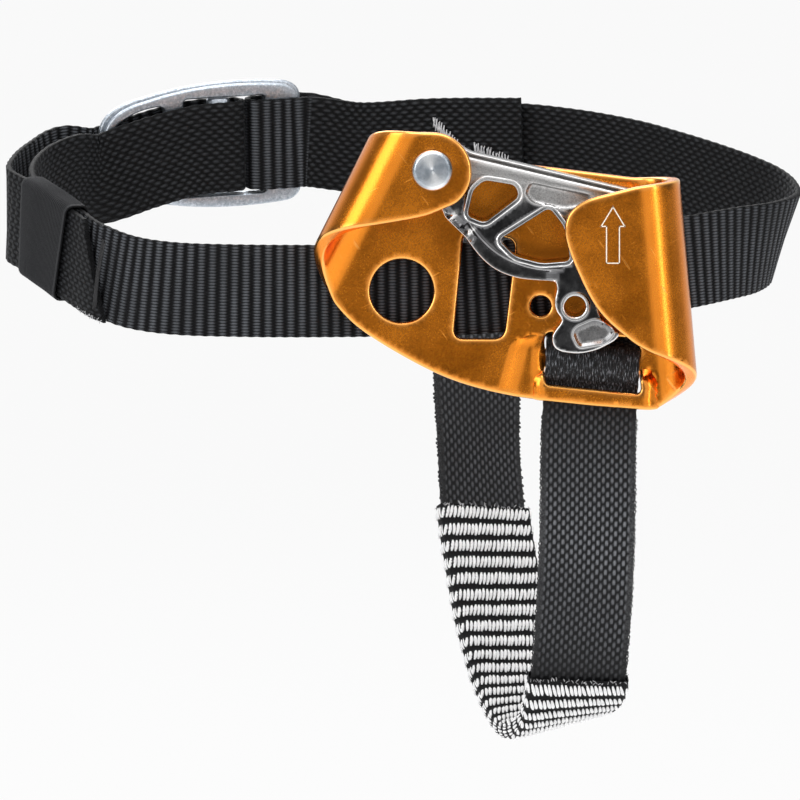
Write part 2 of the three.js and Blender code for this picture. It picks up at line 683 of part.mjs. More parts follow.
ascender.add(
  frameGroup,
  buckle,
  named('ankle_strap', strapRoute.ribbon({ width: STRAP_WIDTH, thickness: WEBBING }), BLACK_WEBBING),
  named('foot_strap', footRoute.ribbon({ width: FOOT_WIDTH, thickness: WEBBING }), BLACK_WEBBING),
  named('wear_sleeve', footRoute.tube({
    from: SLEEVE_FROM,
    to: SLEEVE_TO,
    width: FOOT_WIDTH + 2 * (CLEAR + SLEEVE_WALL),
    thickness: WEBBING + 2 * (CLEAR + SLEEVE_WALL),
    wall: SLEEVE_WALL,
  }), STRIPED),
  named('strap_keeper', strapRoute.tube({
    from: KEEPER_FROM,
    to: KEEPER_TO,
    width: STRAP_WIDTH + 2 * (CLEAR + KEEPER_WALL),
    thickness: KEEPER_DEPTH,
    wall: KEEPER_WALL,
    offset: -LAYER / 2,
  }), BLACK_WEBBING),
  named('keeper_stitch', bartack(strapRoute, TAIL_START + 3.2, TAIL_START + 3.5, 16,
    onFace(KEEPER_DEPTH / 2) - LAYER / 2), GREY_THREAD),
  named('rear_bartack_left', bartack(strapRoute, 0.64, 1.02, 2.4,
    -onFace(WEBBING / 2), [-3, 5]), GREY_THREAD),
  named('rear_bartack_right', bartack(strapRoute, 0.16, 0.55, 2.4,
    -onFace(WEBBING / 2), [-5, -2]), GREY_THREAD),
  named('front_bartack_upper', bartack(footRoute, 0.2, 0.38, 16, -onFace(WEBBING / 2)), GREY_THREAD),
  named('front_bartack_lower', bartack(footRoute, 1.2, 1.45, 16, -onFace(WEBBING / 2)), GREY_THREAD),
  named('tail_hem_stitch', bartack(strapRoute, strapRoute.last - 0.62, strapRoute.last - 0.45, 17,
    onFace(WEBBING / 2)), GREY_THREAD),
);

export default ascender;
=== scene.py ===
"""Foot ascender: the looks of the folded frame, cam, buckle, webbing and wear sleeve.

Shapes are worked out in millimetres in the part's own frame and scaled to metres when a mesh is made.
"""
import math
import random

import bpy
import numpy as np
from mathutils import Matrix, Vector, geometry


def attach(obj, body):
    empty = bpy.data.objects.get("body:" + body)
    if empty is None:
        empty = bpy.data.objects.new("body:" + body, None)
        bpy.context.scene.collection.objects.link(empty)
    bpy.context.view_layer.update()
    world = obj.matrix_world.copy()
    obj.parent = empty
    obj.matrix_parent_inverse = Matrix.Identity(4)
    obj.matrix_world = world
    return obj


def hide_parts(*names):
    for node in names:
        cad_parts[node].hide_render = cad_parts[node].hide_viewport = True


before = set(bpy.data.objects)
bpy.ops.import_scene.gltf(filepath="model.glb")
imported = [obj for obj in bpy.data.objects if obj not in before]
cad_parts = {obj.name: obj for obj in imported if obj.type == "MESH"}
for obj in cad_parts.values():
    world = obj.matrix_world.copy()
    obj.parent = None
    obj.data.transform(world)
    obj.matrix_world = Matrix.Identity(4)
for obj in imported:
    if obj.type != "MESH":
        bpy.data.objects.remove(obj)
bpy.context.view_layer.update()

MM = 0.001
rng = random.Random(7)

# ------------------------------------------------------------------ driving sizes, as in the CAD source
SHEET = 2.8
CHANNEL = 13.6
PLATE_FRONT_Y = -52.2
FOLD_RADIUS = CHANNEL / 2 + SHEET / 2      # to the middle of the sheet
LEFT_LEAN, RIGHT_LEAN = 26.8, -5.0
LEFT_BEND, RIGHT_BEND = 11.8, 53.1
JOGGLE = 2.5
PIVOT = (7.0, 27.5)
RIVET_RADIUS, RIVET_BORE, RIVET_HEAD, RIVET_HEAD_HEIGHT = 3.2, 3.5, 4.4, 1.1
BUSH_RADIUS, BUSH_BORE = 4.6, 4.9
CAM_FRONT, CAM_BACK = -11.0, -2.8
CLEAR = 0.3
STRAP_WIDTH, FOOT_WIDTH, WEBBING = 20.0, 20.3, 1.5
LAYER = WEBBING + 0.5
SLEEVE_WALL, KEEPER_WALL = 0.85, 0.8
KEEPER_CLOTH = KEEPER_WALL - 0.3            # thinner than the CAD's wall, to slide clear of the strap
KEEPER_DEPTH = 2 * WEBBING + 0.5 + 2 * (0.5 + KEEPER_WALL)
LOOP_SLOPE = 0.265
RIB_PITCH = 2.45
TAIL_CUT = 12.0                            # how much longer the tail's lower edge is than its upper one
BUCKLE_PLATE, BUCKLE_GAP, BUCKLE_LENGTH, BUCKLE_HEIGHT = 1.6, 0.3, 46.0, 29.2
BUCKLE_BAR_X, BUCKLE_BAR_WIDTH, BUCKLE_BAR_DEPTH = 4.1, 5.0, 3.2
BUCKLE_WINDOW_HALF, BUCKLE_SIDE_BAR = 10.9, 14.5
# Where the webbing turns round the sewn bar and the grip bar, closer together than in the CAD.
SEWN_TURN, GRIP_TURN = BUCKLE_SIDE_BAR - 0.7, BUCKLE_BAR_X + 2.36
BUCKLE_STRAP_Y = BUCKLE_PLATE + BUCKLE_GAP / 2 + 0.4 + WEBBING / 2

CAMERA_ELEVATION = math.radians(4)
CAMERA_DISTANCE = 6.0
VIEW_WIDTH = 0.1739                        # what the picture spans at the plate
VIEW_CENTRE = Vector((0, PLATE_FRONT_Y, -23.56)) * MM
FLOOR_Z = -0.16
PALE = (0.96, 0.96, 0.96)                  # the even background


# ------------------------------------------------------------------ mesh tools
def lathe_rows(profile, centre, segments=64):
    """A closed ring or disc about an axis along Y; profile is (radius, y) pairs."""
    angles = np.linspace(0, 2 * math.pi, segments, endpoint=False)
    radius, y = np.array(profile, float).T
    x = centre[0] + np.outer(radius, np.cos(angles))
    z = centre[1] + np.outer(radius, np.sin(angles))
    return np.stack([x, np.repeat(y[:, None], segments, axis=1), z], axis=2)


def grid_faces(rows, columns, wrap_columns=False, wrap_rows=False, flip=False):
    row_steps = rows if wrap_rows else rows - 1
    column_steps = columns if wrap_columns else columns - 1
    r, c = np.meshgrid(np.arange(row_steps), np.arange(column_steps), indexing="ij")
    r2, c2 = (r + 1) % rows, (c + 1) % columns
    quads = np.stack([r * columns + c, r * columns + c2, r2 * columns + c2, r2 * columns + c], axis=2)
    quads = quads.reshape(-1, 4)
    return quads[:, ::-1] if flip else quads


def merged(parts):
    """One (points, faces) from several."""
    points, faces, start = [], [], 0
    for part_points, part_faces in parts:
        points.append(part_points)
        faces.extend([[i + start for i in face] for face in part_faces])
        start += len(part_points)
    return np.vstack(points), faces


def tube(path, radius, sides=6, taper=1.0):
    """A thread along a few points, closed at both ends; taper narrows the ends."""
    path = np.array(path, float)
    along = np.gradient(path, axis=0)
    along /= np.linalg.norm(along, axis=1)[:, None]
    guide = np.array([0.31, 0.52, 0.8])
    side = np.cross(along, guide)
    side /= np.linalg.norm(side, axis=1)[:, None]
    up = np.cross(side, along)
    angles = np.linspace(0, 2 * math.pi, sides, endpoint=False)
    share = np.abs(np.linspace(-1, 1, len(path)))
    radii = radius * (1 - (1 - taper) * share ** 2)
    ring = side[:, None] * np.cos(angles)[None, :, None] + up[:, None] * np.sin(angles)[None, :, None]
    points = path[:, None] + ring * radii[:, None, None]
    faces = grid_faces(len(path), sides, wrap_columns=True).tolist()
    last = (len(path) - 1) * sides
    faces.append(list(range(sides))[::-1])
    faces.append([last + k for k in range(sides)])
    return points.reshape(-1, 3), faces


def piece(name, points, faces, body, material, replaces=(), smooth_angle=40, normals=None, weave=None,
          marks=None):
    """Makes an object from millimetre points and rides it on its CAD body.

    weave holds a (along, across) pair in millimetres per point, stored as a UV map in metres;
    marks holds named per-point values that the material reads.
    """
    mesh = bpy.data.meshes.new(name)
    mesh.from_pydata((np.asarray(points, float) * MM).tolist(), [], [list(map(int, f)) for f in faces])
    if weave is not None:
        layer = mesh.uv_layers.new(name="weave")
        corner = np.zeros(len(mesh.loops), int)
        mesh.loops.foreach_get("vertex_index", corner)
        layer.data.foreach_set("uv", (np.asarray(weave, float)[corner] * MM).ravel())
    for mark, values in (marks or {}).items():
        attribute = mesh.attributes.new(mark, "FLOAT", "POINT")
        attribute.data.foreach_set("value", np.asarray(values, np.float32))
    mesh.polygons.foreach_set("use_smooth", [True] * len(mesh.polygons))
    mesh.validate()
    mesh.update()
    if normals is not None:
        mesh.normals_split_custom_set_from_vertices(np.asarray(normals, float).tolist())
    else:
        mesh.set_sharp_from_angle(angle=math.radians(smooth_angle))
    mesh.materials.append(material)
    made = bpy.data.objects.new(name, mesh)
    bpy.context.scene.collection.objects.link(made)
    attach(made, body)
    if replaces:
        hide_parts(*replaces)
    return made


# ------------------------------------------------------------------ flat outlines
def arc(centre, radius, start, end, steps=24):
    angles = np.radians(np.linspace(start, end, steps))
    return np.stack([centre[0] + radius * np.cos(angles), centre[1] + radius * np.sin(angles)], axis=1)


def smooth_curve(points, steps=8):
    """Catmull-Rom through the points, the first and last ones doubled."""
    points = np.array(points, float)
    padded = np.vstack([points[:1], points, points[-1:]])
    t = np.linspace(0, 1, steps, endpoint=False)[:, None]
    spans = []
    for p0, p1, p2, p3 in zip(padded, padded[1:], padded[2:], padded[3:]):
        v0, v1 = (p2 - p0) / 2, (p3 - p1) / 2
        spans.append((2 * p1 - 2 * p2 + v0 + v1) * t ** 3 + (3 * p2 - 3 * p1 - 2 * v0 - v1) * t ** 2
                     + v0 * t + p1)
    return np.vstack([*spans, points[-1:]])


def bezier(start, control, end, steps=10):
    t = np.linspace(0, 1, steps)[:, None]
    start, control, end = (np.array(p, float) for p in (start, control, end))
    return (1 - t) ** 2 * start + 2 * t * (1 - t) * control + t ** 2 * end


def rounded_polygon(corners, radius, steps=7):
    corners = np.array(corners, float)
    parts = []
    for before, corner, after in zip(np.roll(corners, 1, axis=0), corners, np.roll(corners, -1, axis=0)):
        back, ahead = before - corner, after - corner
        start = corner + back / np.linalg.norm(back) * radius
        end = corner + ahead / np.linalg.norm(ahead) * radius
        parts.append(bezier(start, corner, end, steps))
    return np.vstack(parts)


def area(loop):
    x, z = loop.T
    return 0.5 * float(np.sum(x * np.roll(z, -1) - z * np.roll(x, -1)))


def evenly(loop, spacing, rounds=0, counter_clockwise=True):
    """A closed loop with points about spacing apart; rounds of averaging soften its corners."""
    loop = loop if (area(loop) > 0) == counter_clockwise else loop[::-1]
    closed = np.vstack([loop, loop[:1]])
    gaps = np.linalg.norm(np.diff(closed, axis=0), axis=1)
    keep = np.concatenate([[True], gaps > 1e-6])
    closed = closed[keep]
    length = np.concatenate([[0], np.cumsum(gaps[gaps > 1e-6])])
    count = max(12, int(round(length[-1] / spacing)))
    at = np.linspace(0, length[-1], count, endpoint=False)
    even = np.stack([np.interp(at, length, closed[:, k]) for k in range(2)], axis=1)
    for _ in range(rounds):
        even = 0.5 * even + 0.25 * (np.roll(even, 1, axis=0) + np.roll(even, -1, axis=0))
    return even


def inward(loop):
    """Unit normals on the left of the loop, which is where the material is."""
    along = np.roll(loop, -1, axis=0) - np.roll(loop, 1, axis=0)
    along /= np.linalg.norm(along, axis=1)[:, None]
    return np.stack([-along[:, 1], along[:, 0]], axis=1)


def inside(points, loops):
    """Whether each point lies in the material bounded by the loops (odd number of crossings)."""
    crossings = np.zeros(len(points), int)
    for loop in loops:
        following = np.roll(loop, -1, axis=0)
        for (x0, z0), (x1, z1) in zip(loop, following):
            if z0 == z1:
                continue
            spans = (z0 > points[:, 1]) != (z1 > points[:, 1])
            cut = x0 + (points[:, 1] - z0) / (z1 - z0) * (x1 - x0)
            crossings += spans & (points[:, 0] < cut)
    return crossings % 2 == 1


def distance(points, loop, closed=True):
    """Distance of each point from a polyline."""
    ends = np.roll(loop, -1, axis=0) if closed else loop[1:]
    starts = loop if closed else loop[:-1]
    best = np.full(len(points), 1e9)
    for a, b in zip(starts, ends):
        edge = b - a
        t = np.clip((points - a) @ edge / max(edge @ edge, 1e-12), 0, 1)
        best = np.minimum(best, np.linalg.norm(points - a - t[:, None] * edge, axis=1))
    return best


def smoothstep(value, low, high):
    t = np.clip((value - low) / (high - low), 0, 1)
    return t * t * (3 - 2 * t)


# ------------------------------------------------------------------ sheet with rounded edges
def sheet(loops, place, thickness, edge, spacing, creases=(), relief=None, corner_steps=3):
    """A sheet with rounded edges: loops[0] is its outline, the others its holes, place(points, height) puts
    flat points at a height from the sheet's middle into space, and creases are lines that the mesh follows.

    Returns points, faces and a per-point mark that is 1 on the rounded edges.
    """
    half = thickness / 2
    insets = [loop + inward(loop) * edge for loop in loops]
    flat, links = [], []
    for loop in insets:
        start = len(flat)
        flat.extend(loop)
        links.extend([(start + k, start + (k + 1) % len(loop)) for k in range(len(loop))])
    for line, closed in creases:
        fits = inside(line, insets) & (min_distance(line, insets) > spacing * 0.3)
        start = len(flat)
        flat.extend(line)
        count = len(line)
        steps = range(count if closed else count - 1)
        links.extend([(start + k, start + (k + 1) % count)
                      for k in steps if fits[k] and fits[(k + 1) % count]])
    fixed = np.array(flat)
    low, high = fixed.min(0), fixed.max(0)
    x, z = np.meshgrid(np.arange(low[0], high[0], spacing), np.arange(low[1], high[1], spacing * 0.87))
    x = x + (np.arange(len(x)) % 2)[:, None] * spacing / 2
    cloud = np.stack([x.ravel(), z.ravel()], axis=1)
    cloud = cloud[inside(cloud, insets)]
    cloud = cloud[nearest(cloud, fixed) > spacing * 0.6]
    everything = np.vstack([fixed, cloud])
    verts, _, faces, origin, _, _ = geometry.delaunay_2d_cdt(
        [Vector(p) for p in everything], links, [], 0, 1e-7)
    flat = np.array([tuple(v) for v in verts])
    tris = np.array(faces)
    middle = flat[tris].mean(axis=1)
    tris = tris[inside(middle, insets)]
    where = {}
    for index, sources in enumerate(origin):
        for source in sources:
            where[source] = index
    used = np.unique(tris)
    number = {int(v): k for k, v in enumerate(used)}
    tris = np.array([[number[int(v)] for v in t] for t in tris])
    flat = flat[used]
    if np.cross(flat[tris[0, 1]] - flat[tris[0, 0]], flat[tris[0, 2]] - flat[tris[0, 0]]) < 0:
        tris = tris[:, ::-1]
    count = len(flat)
    lift = relief(flat) if relief else np.zeros(count)
    points = [place(flat, half + lift), place(flat, np.full(count, -half))]
    faces = [*tris.tolist(), *(tris[:, ::-1] + count).tolist()]
    marks = [np.zeros(count), np.zeros(count)]
    total = 2 * count
    start = 0
    bends = np.linspace(90, 0, corner_steps + 1)[1:]
    for loop in loops:
        size = len(loop)
        rim = np.array([number[where[start + k]] for k in range(size)])
        start += size
        normal = inward(loop)
        rows = [rim]
        for side in (1, -1):
            for bend in (bends if side > 0 else bends[::-1]):
                angle = math.radians(bend)
                shifted = loop + normal * edge * (1 - math.cos(angle))
                height = side * (half - edge + edge * math.sin(angle))
                points.append(place(shifted, np.full(size, height)))
                # the edge mark: materials that read it paint a highlight on the rounded edges
                marks.append(np.full(size, 1.0 if bend > 1 else 0.12))
                rows.append(np.arange(total, total + size))
                total += size
        rows.append(rim + count)
        marks[0][rim] = marks[1][rim] = 0.45
        for upper, lower in zip(rows, rows[1:]):
            ahead_upper, ahead_lower = np.roll(upper, -1), np.roll(lower, -1)
            faces.extend(np.stack([upper, lower, ahead_lower, ahead_upper], axis=1).tolist())
    return np.vstack(points), faces, np.concatenate(marks)


def nearest(points, others):
    best = np.full(len(points), 1e9)
    for k in range(0, len(others), 200):
        gaps = np.linalg.norm(points[:, None] - others[None, k:k + 200], axis=2)
        best = np.minimum(best, gaps.min(axis=1))
    return best


def min_distance(points, loops):
    return np.min([distance(points, loop) for loop in loops], axis=0)


# ------------------------------------------------------------------ routes of webbing
def catmull(points, stations):
    """Centripetal Catmull-Rom through the points, at places counted in stations."""
    points = np.array(points, float)
    before = 2 * points[0] - points[1]
    after = 2 * points[-1] - points[-2]
    padded = np.vstack([before, points, after])
    index = np.clip(np.floor(stations).astype(int), 0, len(points) - 2)
    t = (stations - index)[:, None]
    p0, p1, p2, p3 = (padded[index + k] for k in range(4))
    d0, d1, d2 = (np.linalg.norm(b - a, axis=1)[:, None] ** 0.5 for a, b in ((p0, p1), (p1, p2), (p2, p3)))
    d1 = np.where(d1 < 1e-4, 1.0, d1)
    d0 = np.where(d0 < 1e-4, d1, d0)
    d2 = np.where(d2 < 1e-4, d1, d2)
    m1 = ((p1 - p0) / d0 - (p2 - p0) / (d0 + d1) + (p2 - p1) / d1) * d1
    m2 = ((p2 - p1) / d1 - (p3 - p1) / (d1 + d2) + (p3 - p2) / d2) * d1
    return (2 * p1 - 2 * p2 + m1 + m2) * t ** 3 + (3 * p2 - 3 * p1 - 2 * m1 - m2) * t ** 2 + m1 * t + p1


def unit(vectors):
    return vectors / np.maximum(np.linalg.norm(vectors, axis=-1, keepdims=True), 1e-12)


class Route:
    """A smooth line through stations, each with the direction of the webbing's width, by its real length."""

    def __init__(self, stations):
        self.last = len(stations) - 1
        self.places = np.linspace(0, self.last, 80 * self.last + 1)
        self.at = catmull([s[0] for s in stations], self.places)
        rough = unit(catmull([s[1] for s in stations], self.places))
        self.along = unit(np.gradient(self.at, axis=0))
        self.normal = unit(np.cross(self.along, rough))
        self.across = unit(np.cross(self.normal, self.along))
        gaps = np.linalg.norm(np.diff(self.at, axis=0), axis=1)
        self.length = np.concatenate([[0], np.cumsum(gaps)])

    def length_at(self, station):
        return float(np.interp(station, self.places, self.length))

    def frames(self, lengths):
        def look(table):
            return np.stack([np.interp(lengths, self.length, table[:, k]) for k in range(3)], axis=-1)
        return look(self.at), unit(look(self.normal)), unit(look(self.across))

    def beside(self, station, offset, shift=0.0):
        at, normal, across = self.frames(np.array([self.length_at(station)]))
        return (at + normal * offset + across * shift)[0]

    def points(self, lengths, shift, offset):
        """Points at a distance along the route, shift across it and offset off it."""
        at, normal, across = self.frames(lengths)
        return at + normal * np.asarray(offset)[..., None] + across * np.asarray(shift)[..., None]


def station(x, y, z, across=(0, 0, 1)):
    return (np.array([x, y, z], float), np.array(across, float))


def turn(axis, angle):
    return np.array(Matrix.Rotation(math.radians(angle), 3, axis))


# The buckle has a frame of its own: x along the strap, y outwards, z up.
BUCKLE_AT = np.array([-44, 41.6, 26.0])
BUCKLE_TURN = turn("Z", 15) @ turn("Y", -2.7) @ turn("X", 7)


def in_buckle(points):
    return np.asarray(points, float) @ BUCKLE_TURN.T + BUCKLE_AT


def buckle_station(x, y, z=0.0):
    return (in_buckle([x, y, z]), BUCKLE_TURN[:, 2])


def turn_around(x, side):
    """Half a turn of webbing round a bar, from one face of the buckle to the other."""
    return [buckle_station(x + side * BUCKLE_STRAP_Y * math.cos(math.radians(angle)),
                           BUCKLE_STRAP_Y * math.sin(math.radians(angle))) for angle in (-60, -30, 0, 30, 60)]


def ring(x, y, across=(0, 0, 1)):
    """A station of the ankle loop, which rises from the front to the back."""
    return station(x, y, LOOP_SLOPE * (y + 48), across)


UP_FAR = (0, -0.12, 0.99)
UP_RIGHT = (0.29, -0.06, 0.95)
LOOP = [
    station(27.0, 44.7, 26.6, UP_FAR), station(8.0, 48.1, 26.3, UP_FAR), station(-9.0, 48.0, 25.4, UP_FAR),
    buckle_station(BUCKLE_LENGTH / 2 + 1, -BUCKLE_STRAP_Y), buckle_station(19.5, -BUCKLE_STRAP_Y),
    *turn_around(SEWN_TURN, -1),
    buckle_station(19.5, BUCKLE_STRAP_Y), buckle_station(BUCKLE_LENGTH / 2 + 1, BUCKLE_STRAP_Y),
    station(-9.0, 50.9, 25.0, UP_FAR), station(8.0, 50.3, 25.6, UP_FAR),
    ring(27.8, 47.0, UP_FAR), ring(40, 42.7, UP_FAR), ring(52, 35.5, (0.05, -0.1, 0.99)),
    ring(60, 28.5, (0.1, -0.1, 0.99)), ring(68, 20.5, (0.17, -0.09, 0.98)),
    ring(75, 12.5, (0.22, -0.08, 0.97)), ring(80.4, 4.5, (0.27, -0.06, 0.96)), ring(83.4, -4, UP_RIGHT),
    station(83.4, -14, 9.3, UP_RIGHT), station(79.5, -24, 8.0, (0.22, -0.03, 0.97)),
    station(72.5, -33.5, 7.2, (0.1, 0, 1)), station(63.5, -42.5, 6.0), station(54, -47.6, 4.6),
    station(40, -48.3, 2.8), station(17, -48.3, 0.6), station(-8, -48.3, 0), station(-35, -48.3, 0),
    station(-50, -47.3, 0.5), station(-58.7, -43.3, 1.6), station(-65, -37.0, 3.6),
    station(-69.6, -28.5, 6.0), station(-73.8, -20.5, 8.6), station(-77.6, -12.0, 10.6),
    station(-80.2, -3, 12.0), ring(-80.3, 6), ring(-77.3, 17, (0, -0.06, 1)),
    ring(-71.4, 26.0, (0.03, -0.12, 0.99)),
]
TAIL_START = len(LOOP) - 9
KEEPER_FROM, KEEPER_TO = TAIL_START + 2.3, TAIL_START + 4.6
loop_route = Route(LOOP)
strap_route = Route([
    *LOOP,
    buckle_station(-BUCKLE_LENGTH / 2 - 1, -BUCKLE_STRAP_Y - 0.2, -5.4),
    buckle_station(-14, -BUCKLE_STRAP_Y, -2.8), buckle_station(-2, -BUCKLE_STRAP_Y, -0.3),
    *turn_around(GRIP_TURN, 1),
    buckle_station(-2, BUCKLE_STRAP_Y, -0.3), buckle_station(-14, BUCKLE_STRAP_Y, -2.8),
    buckle_station(-BUCKLE_LENGTH / 2 - 1, BUCKLE_STRAP_Y, -5.0),
    ring(-74.2, 31.5), ring(-80.0, 22.5), ring(-84.2, 12.0), ring(-85.4, 2.5),
    *[(loop_route.beside(TAIL_START + ahead, -LAYER - 0.1), np.array([0.0, 0, 1]))
      for ahead in (4.75, 4, 3, 2, 1, 0.4)],
])


def front(x, y, z, across=(1, 0, -0.07)):
    return station(x, PLATE_FRONT_Y + y, z, across)


TWISTED = (0.877, 0.48, 0)
foot_route = Route([
    front(43.2, 6.4, 9.0, (1, 0, 0)), front(42.8, 6.4, 0, (1, 0, 0)), front(42.3, 6.4, -6.6),
    front(42.0, 4.8, -10.8), front(42.0, 1.4, -12.0), front(41.9, -1.0, -12.9), front(41.8, -1.5, -15.6),
    front(41.7, -0.6, -18.2), front(41.6, 1.0, -20.0), front(41.4, 1.6, -22.8),
    front(41.0, 1.6, -32, (1, 0, 0)),
    front(40.8, 1.6, -50, (1, 0, 0)), front(40.2, 2.0, -66, (1, 0, 0)), front(39.4, 3.6, -77, (1, 0.03, 0)),
    front(38.6, 7.2, -86, (0.98, 0.12, 0)), station(37.2, -38.4, -91.6, (0.95, 0.24, 0.12)),
    station(34.4, -29, -94.8, (0.92, 0.3, 0.22)), station(31.4, -18, -95.4, (0.91, 0.36, 0.2)),
    station(28.4, -9, -92.4, (0.9, 0.42, 0.1)), station(25.0, -1, -86, TWISTED),
    station(22.2, 5, -76, TWISTED),
    station(20.0, 10, -64, TWISTED), station(18.2, 15, -52, TWISTED), station(17.0, 23, -32, TWISTED),
    station(17.0, 35, -10, (0.95, 0.28, 0)), station(17.0, 47.0, 5, (1, 0.02, 0)),
    station(17.0, 52.6, 14.5, (1, -0.165, 0)), station(17.0, 52.5, 23, (1, -0.165, 0)),
    station(17.0, 51.2, 35, (1, -0.165, 0)),
])
SLEEVE_FROM, SLEEVE_TO = 13.8, 22
# More places along the routes, counted in stations.
SEWN_LAYER_END = 3.0
OVER_THE_BAR, FRONT_RUN = (4.4, 9.2), (9.0, 13.9)
SELVEDGE_FROM, SELVEDGE_TO = 9.6, 25.5


# ------------------------------------------------------------------ node materials
class Look:
    """A material being put together: each method adds a node and gives back its output."""

    def __init__(self, name, **constants):
        self.material = bpy.data.materials.new(name)
        self.material.use_nodes = True
        self.tree = self.material.node_tree
        self.tree.nodes.clear()
        output = self.tree.nodes.new("ShaderNodeOutputMaterial")
        self.shader = self.tree.nodes.new("ShaderNodeBsdfPrincipled")
        self.tree.links.new(self.shader.outputs[0], output.inputs["Surface"])
        for socket, value in constants.items():
            self.shader.inputs[socket.replace("_", " ")].default_value = value

    def put(self, socket, value):
        if isinstance(value, bpy.types.NodeSocket):
            self.tree.links.new(value, socket)
        else:
            socket.default_value = value

    def node(self, kind, inputs=(), output=0, **settings):
        made = self.tree.nodes.new(kind)
        for key, value in settings.items():
            setattr(made, key, value)
        for key, value in dict(inputs).items():
            self.put(made.inputs[key], value)
        return made.outputs[output]

    def set(self, socket, value):
        self.put(self.shader.inputs[socket], value)

    def mark(self, name):
        return self.node("ShaderNodeAttribute", attribute_name=name, output="Fac")

    def place(self):
        return self.node("ShaderNodeTexCoord", output="Object")

    def weave(self):
        return self.node("ShaderNodeUVMap", uv_map="weave")

    def stretch(self, vector, scale):
        return self.node("ShaderNodeVectorMath", {0: vector, 1: scale}, operation="MULTIPLY")

    def noise(self, vector, scale, detail=2.0, roughness=0.5):
        return self.node("ShaderNodeTexNoise", {"Vector": vector, "Scale": scale, "Detail": detail,
                                                "Roughness": roughness})

    def math(self, operation, a, b=0.0, clamp=False):
        return self.node("ShaderNodeMath", {0: a, 1: b}, operation=operation, use_clamp=clamp)

    def span(self, value, low, high, to_low=0.0, to_high=1.0):
        return self.node("ShaderNodeMapRange", {0: value, 1: low, 2: high, 3: to_low, 4: to_high})

    def colours(self, value, stops):
        made = self.tree.nodes.new("ShaderNodeValToRGB")
        ramp = made.color_ramp
        while len(ramp.elements) < len(stops):
            ramp.elements.new(0.5)
        for element, (position, colour) in zip(ramp.elements, stops):
            element.position = position
            element.color = (*colour, 1)
        self.put(made.inputs[0], value)
        return made.outputs[0]

    def blend(self, factor, a, b, kind="MIX"):
        def full(colour):
            return (*colour, 1) if isinstance(colour, tuple) and len(colour) == 3 else colour
        return self.node("ShaderNodeMix", {0: factor, 6: full(a), 7: full(b)}, output=2,
                         data_type="RGBA", blend_type=kind)

    def bump(self, height, depth_mm, strength=1.0):
        previous = self.shader.inputs["Normal"].links
        inputs = {"Height": height, "Distance": depth_mm * MM, "Strength": strength}
        if previous:
            inputs["Normal"] = previous[0].from_socket
        self.set("Normal", self.node("ShaderNodeBump", inputs))


def tilted(look, vector, angle):
    """The same coordinates turned about the Y axis."""
    return look.node("ShaderNodeVectorRotate", {"Vector": vector, "Angle": math.radians(angle)},
                     rotation_type="Y_AXIS")


def anodised():
    """Orange anodised aluminium: satin grain, fine draw lines, scratches, and a painted highlight on the
    rounded edges, which are also a little smoother.
    """
    look = Look("orange_anodised", Metallic=1.0, Coat_Weight=0.25, Coat_Roughness=0.16)
    place = look.place()
    cloud = look.noise(place, 90, 3)
    grain = look.noise(place, 2600, 2, 0.6)
    fine = look.noise(look.stretch(place, (2600, 2600, 260)), 1.0, 2)
    # painted highlight: the edge mark lifts the rounded edges towards a pale highlight orange
    wear_and_glint = look.math("POWER", look.mark("edge"), 1.4)
    drawn_a = look.stretch(tilted(look, place, 35), (1500, 60, 110))
    drawn_b = look.stretch(tilted(look, place, -62), (1700, 60, 90))
    scratch_a = look.span(look.noise(drawn_a, 1.0, 0), 0.79, 0.82)
    scratch_b = look.span(look.noise(drawn_b, 1.0, 0), 0.8, 0.83)
    scratches = look.math("MAXIMUM", scratch_a, scratch_b)
    base = look.colours(cloud, [(0.3, (0.86, 0.256, 0.014)), (0.7, (0.94, 0.298, 0.022))])
    base = look.blend(look.span(grain, 0.3, 0.7, 0.0, 0.12), base, (0.66, 0.18, 0.012))
    base = look.blend(look.math("MULTIPLY", scratches, 0.3), base, (1.0, 0.55, 0.16))
    # painted edge highlight colour, from the edge mark
    look.set("Base Color", look.blend(look.math("MULTIPLY", wear_and_glint, 0.75), base, (1.0, 0.55, 0.16)))
    rough = look.span(cloud, 0.3, 0.7, 0.2, 0.29)
    rough = look.math("ADD", rough, look.span(grain, 0.3, 0.7, -0.03, 0.04))
    look.set("Roughness", look.math("SUBTRACT", rough, look.math("MULTIPLY", wear_and_glint, 0.08)))
    look.bump(fine, 0.01)
    look.bump(grain, 0.004)
    look.bump(cloud, 0.35, 0.25)
    look.bump(scratches, 0.02, 0.6)
    return look.material


def cast_steel():
    """Polished cast steel with satin recesses, and a painted near-white highlight on its rims."""
    look = Look("cam_steel", Metallic=1.0)
    place = look.place()
    recess = look.mark("recess")
    rim = look.mark("edge")
    grain = look.noise(place, 3400, 2, 0.7)
    blotch = look.noise(place, 260, 4, 0.65)
    base = look.colours(blotch, [(0.35, (0.11, 0.11, 0.115)), (0.68, (0.20, 0.20, 0.205))])
    satin = look.colours(grain, [(0.3, (0.27, 0.265, 0.26)), (0.7, (0.64, 0.63, 0.62))])
    base = look.blend(recess, base, satin)
    # painted highlight: the marked rims are painted near white
    look.set("Base Color", look.blend(rim, base, (0.97, 0.96, 0.95)))
    rough = look.span(blotch, 0.35, 0.7, 0.10, 0.22)
    rough = look.math("ADD", rough, look.math("MULTIPLY", recess, 0.3))
    look.set("Roughness", rough)
    look.bump(blotch, 0.05, 0.5)
    look.bump(grain, 0.03, look.math("MULTIPLY", look.math("ADD", recess, 0.12), 0.9))
    return look.material


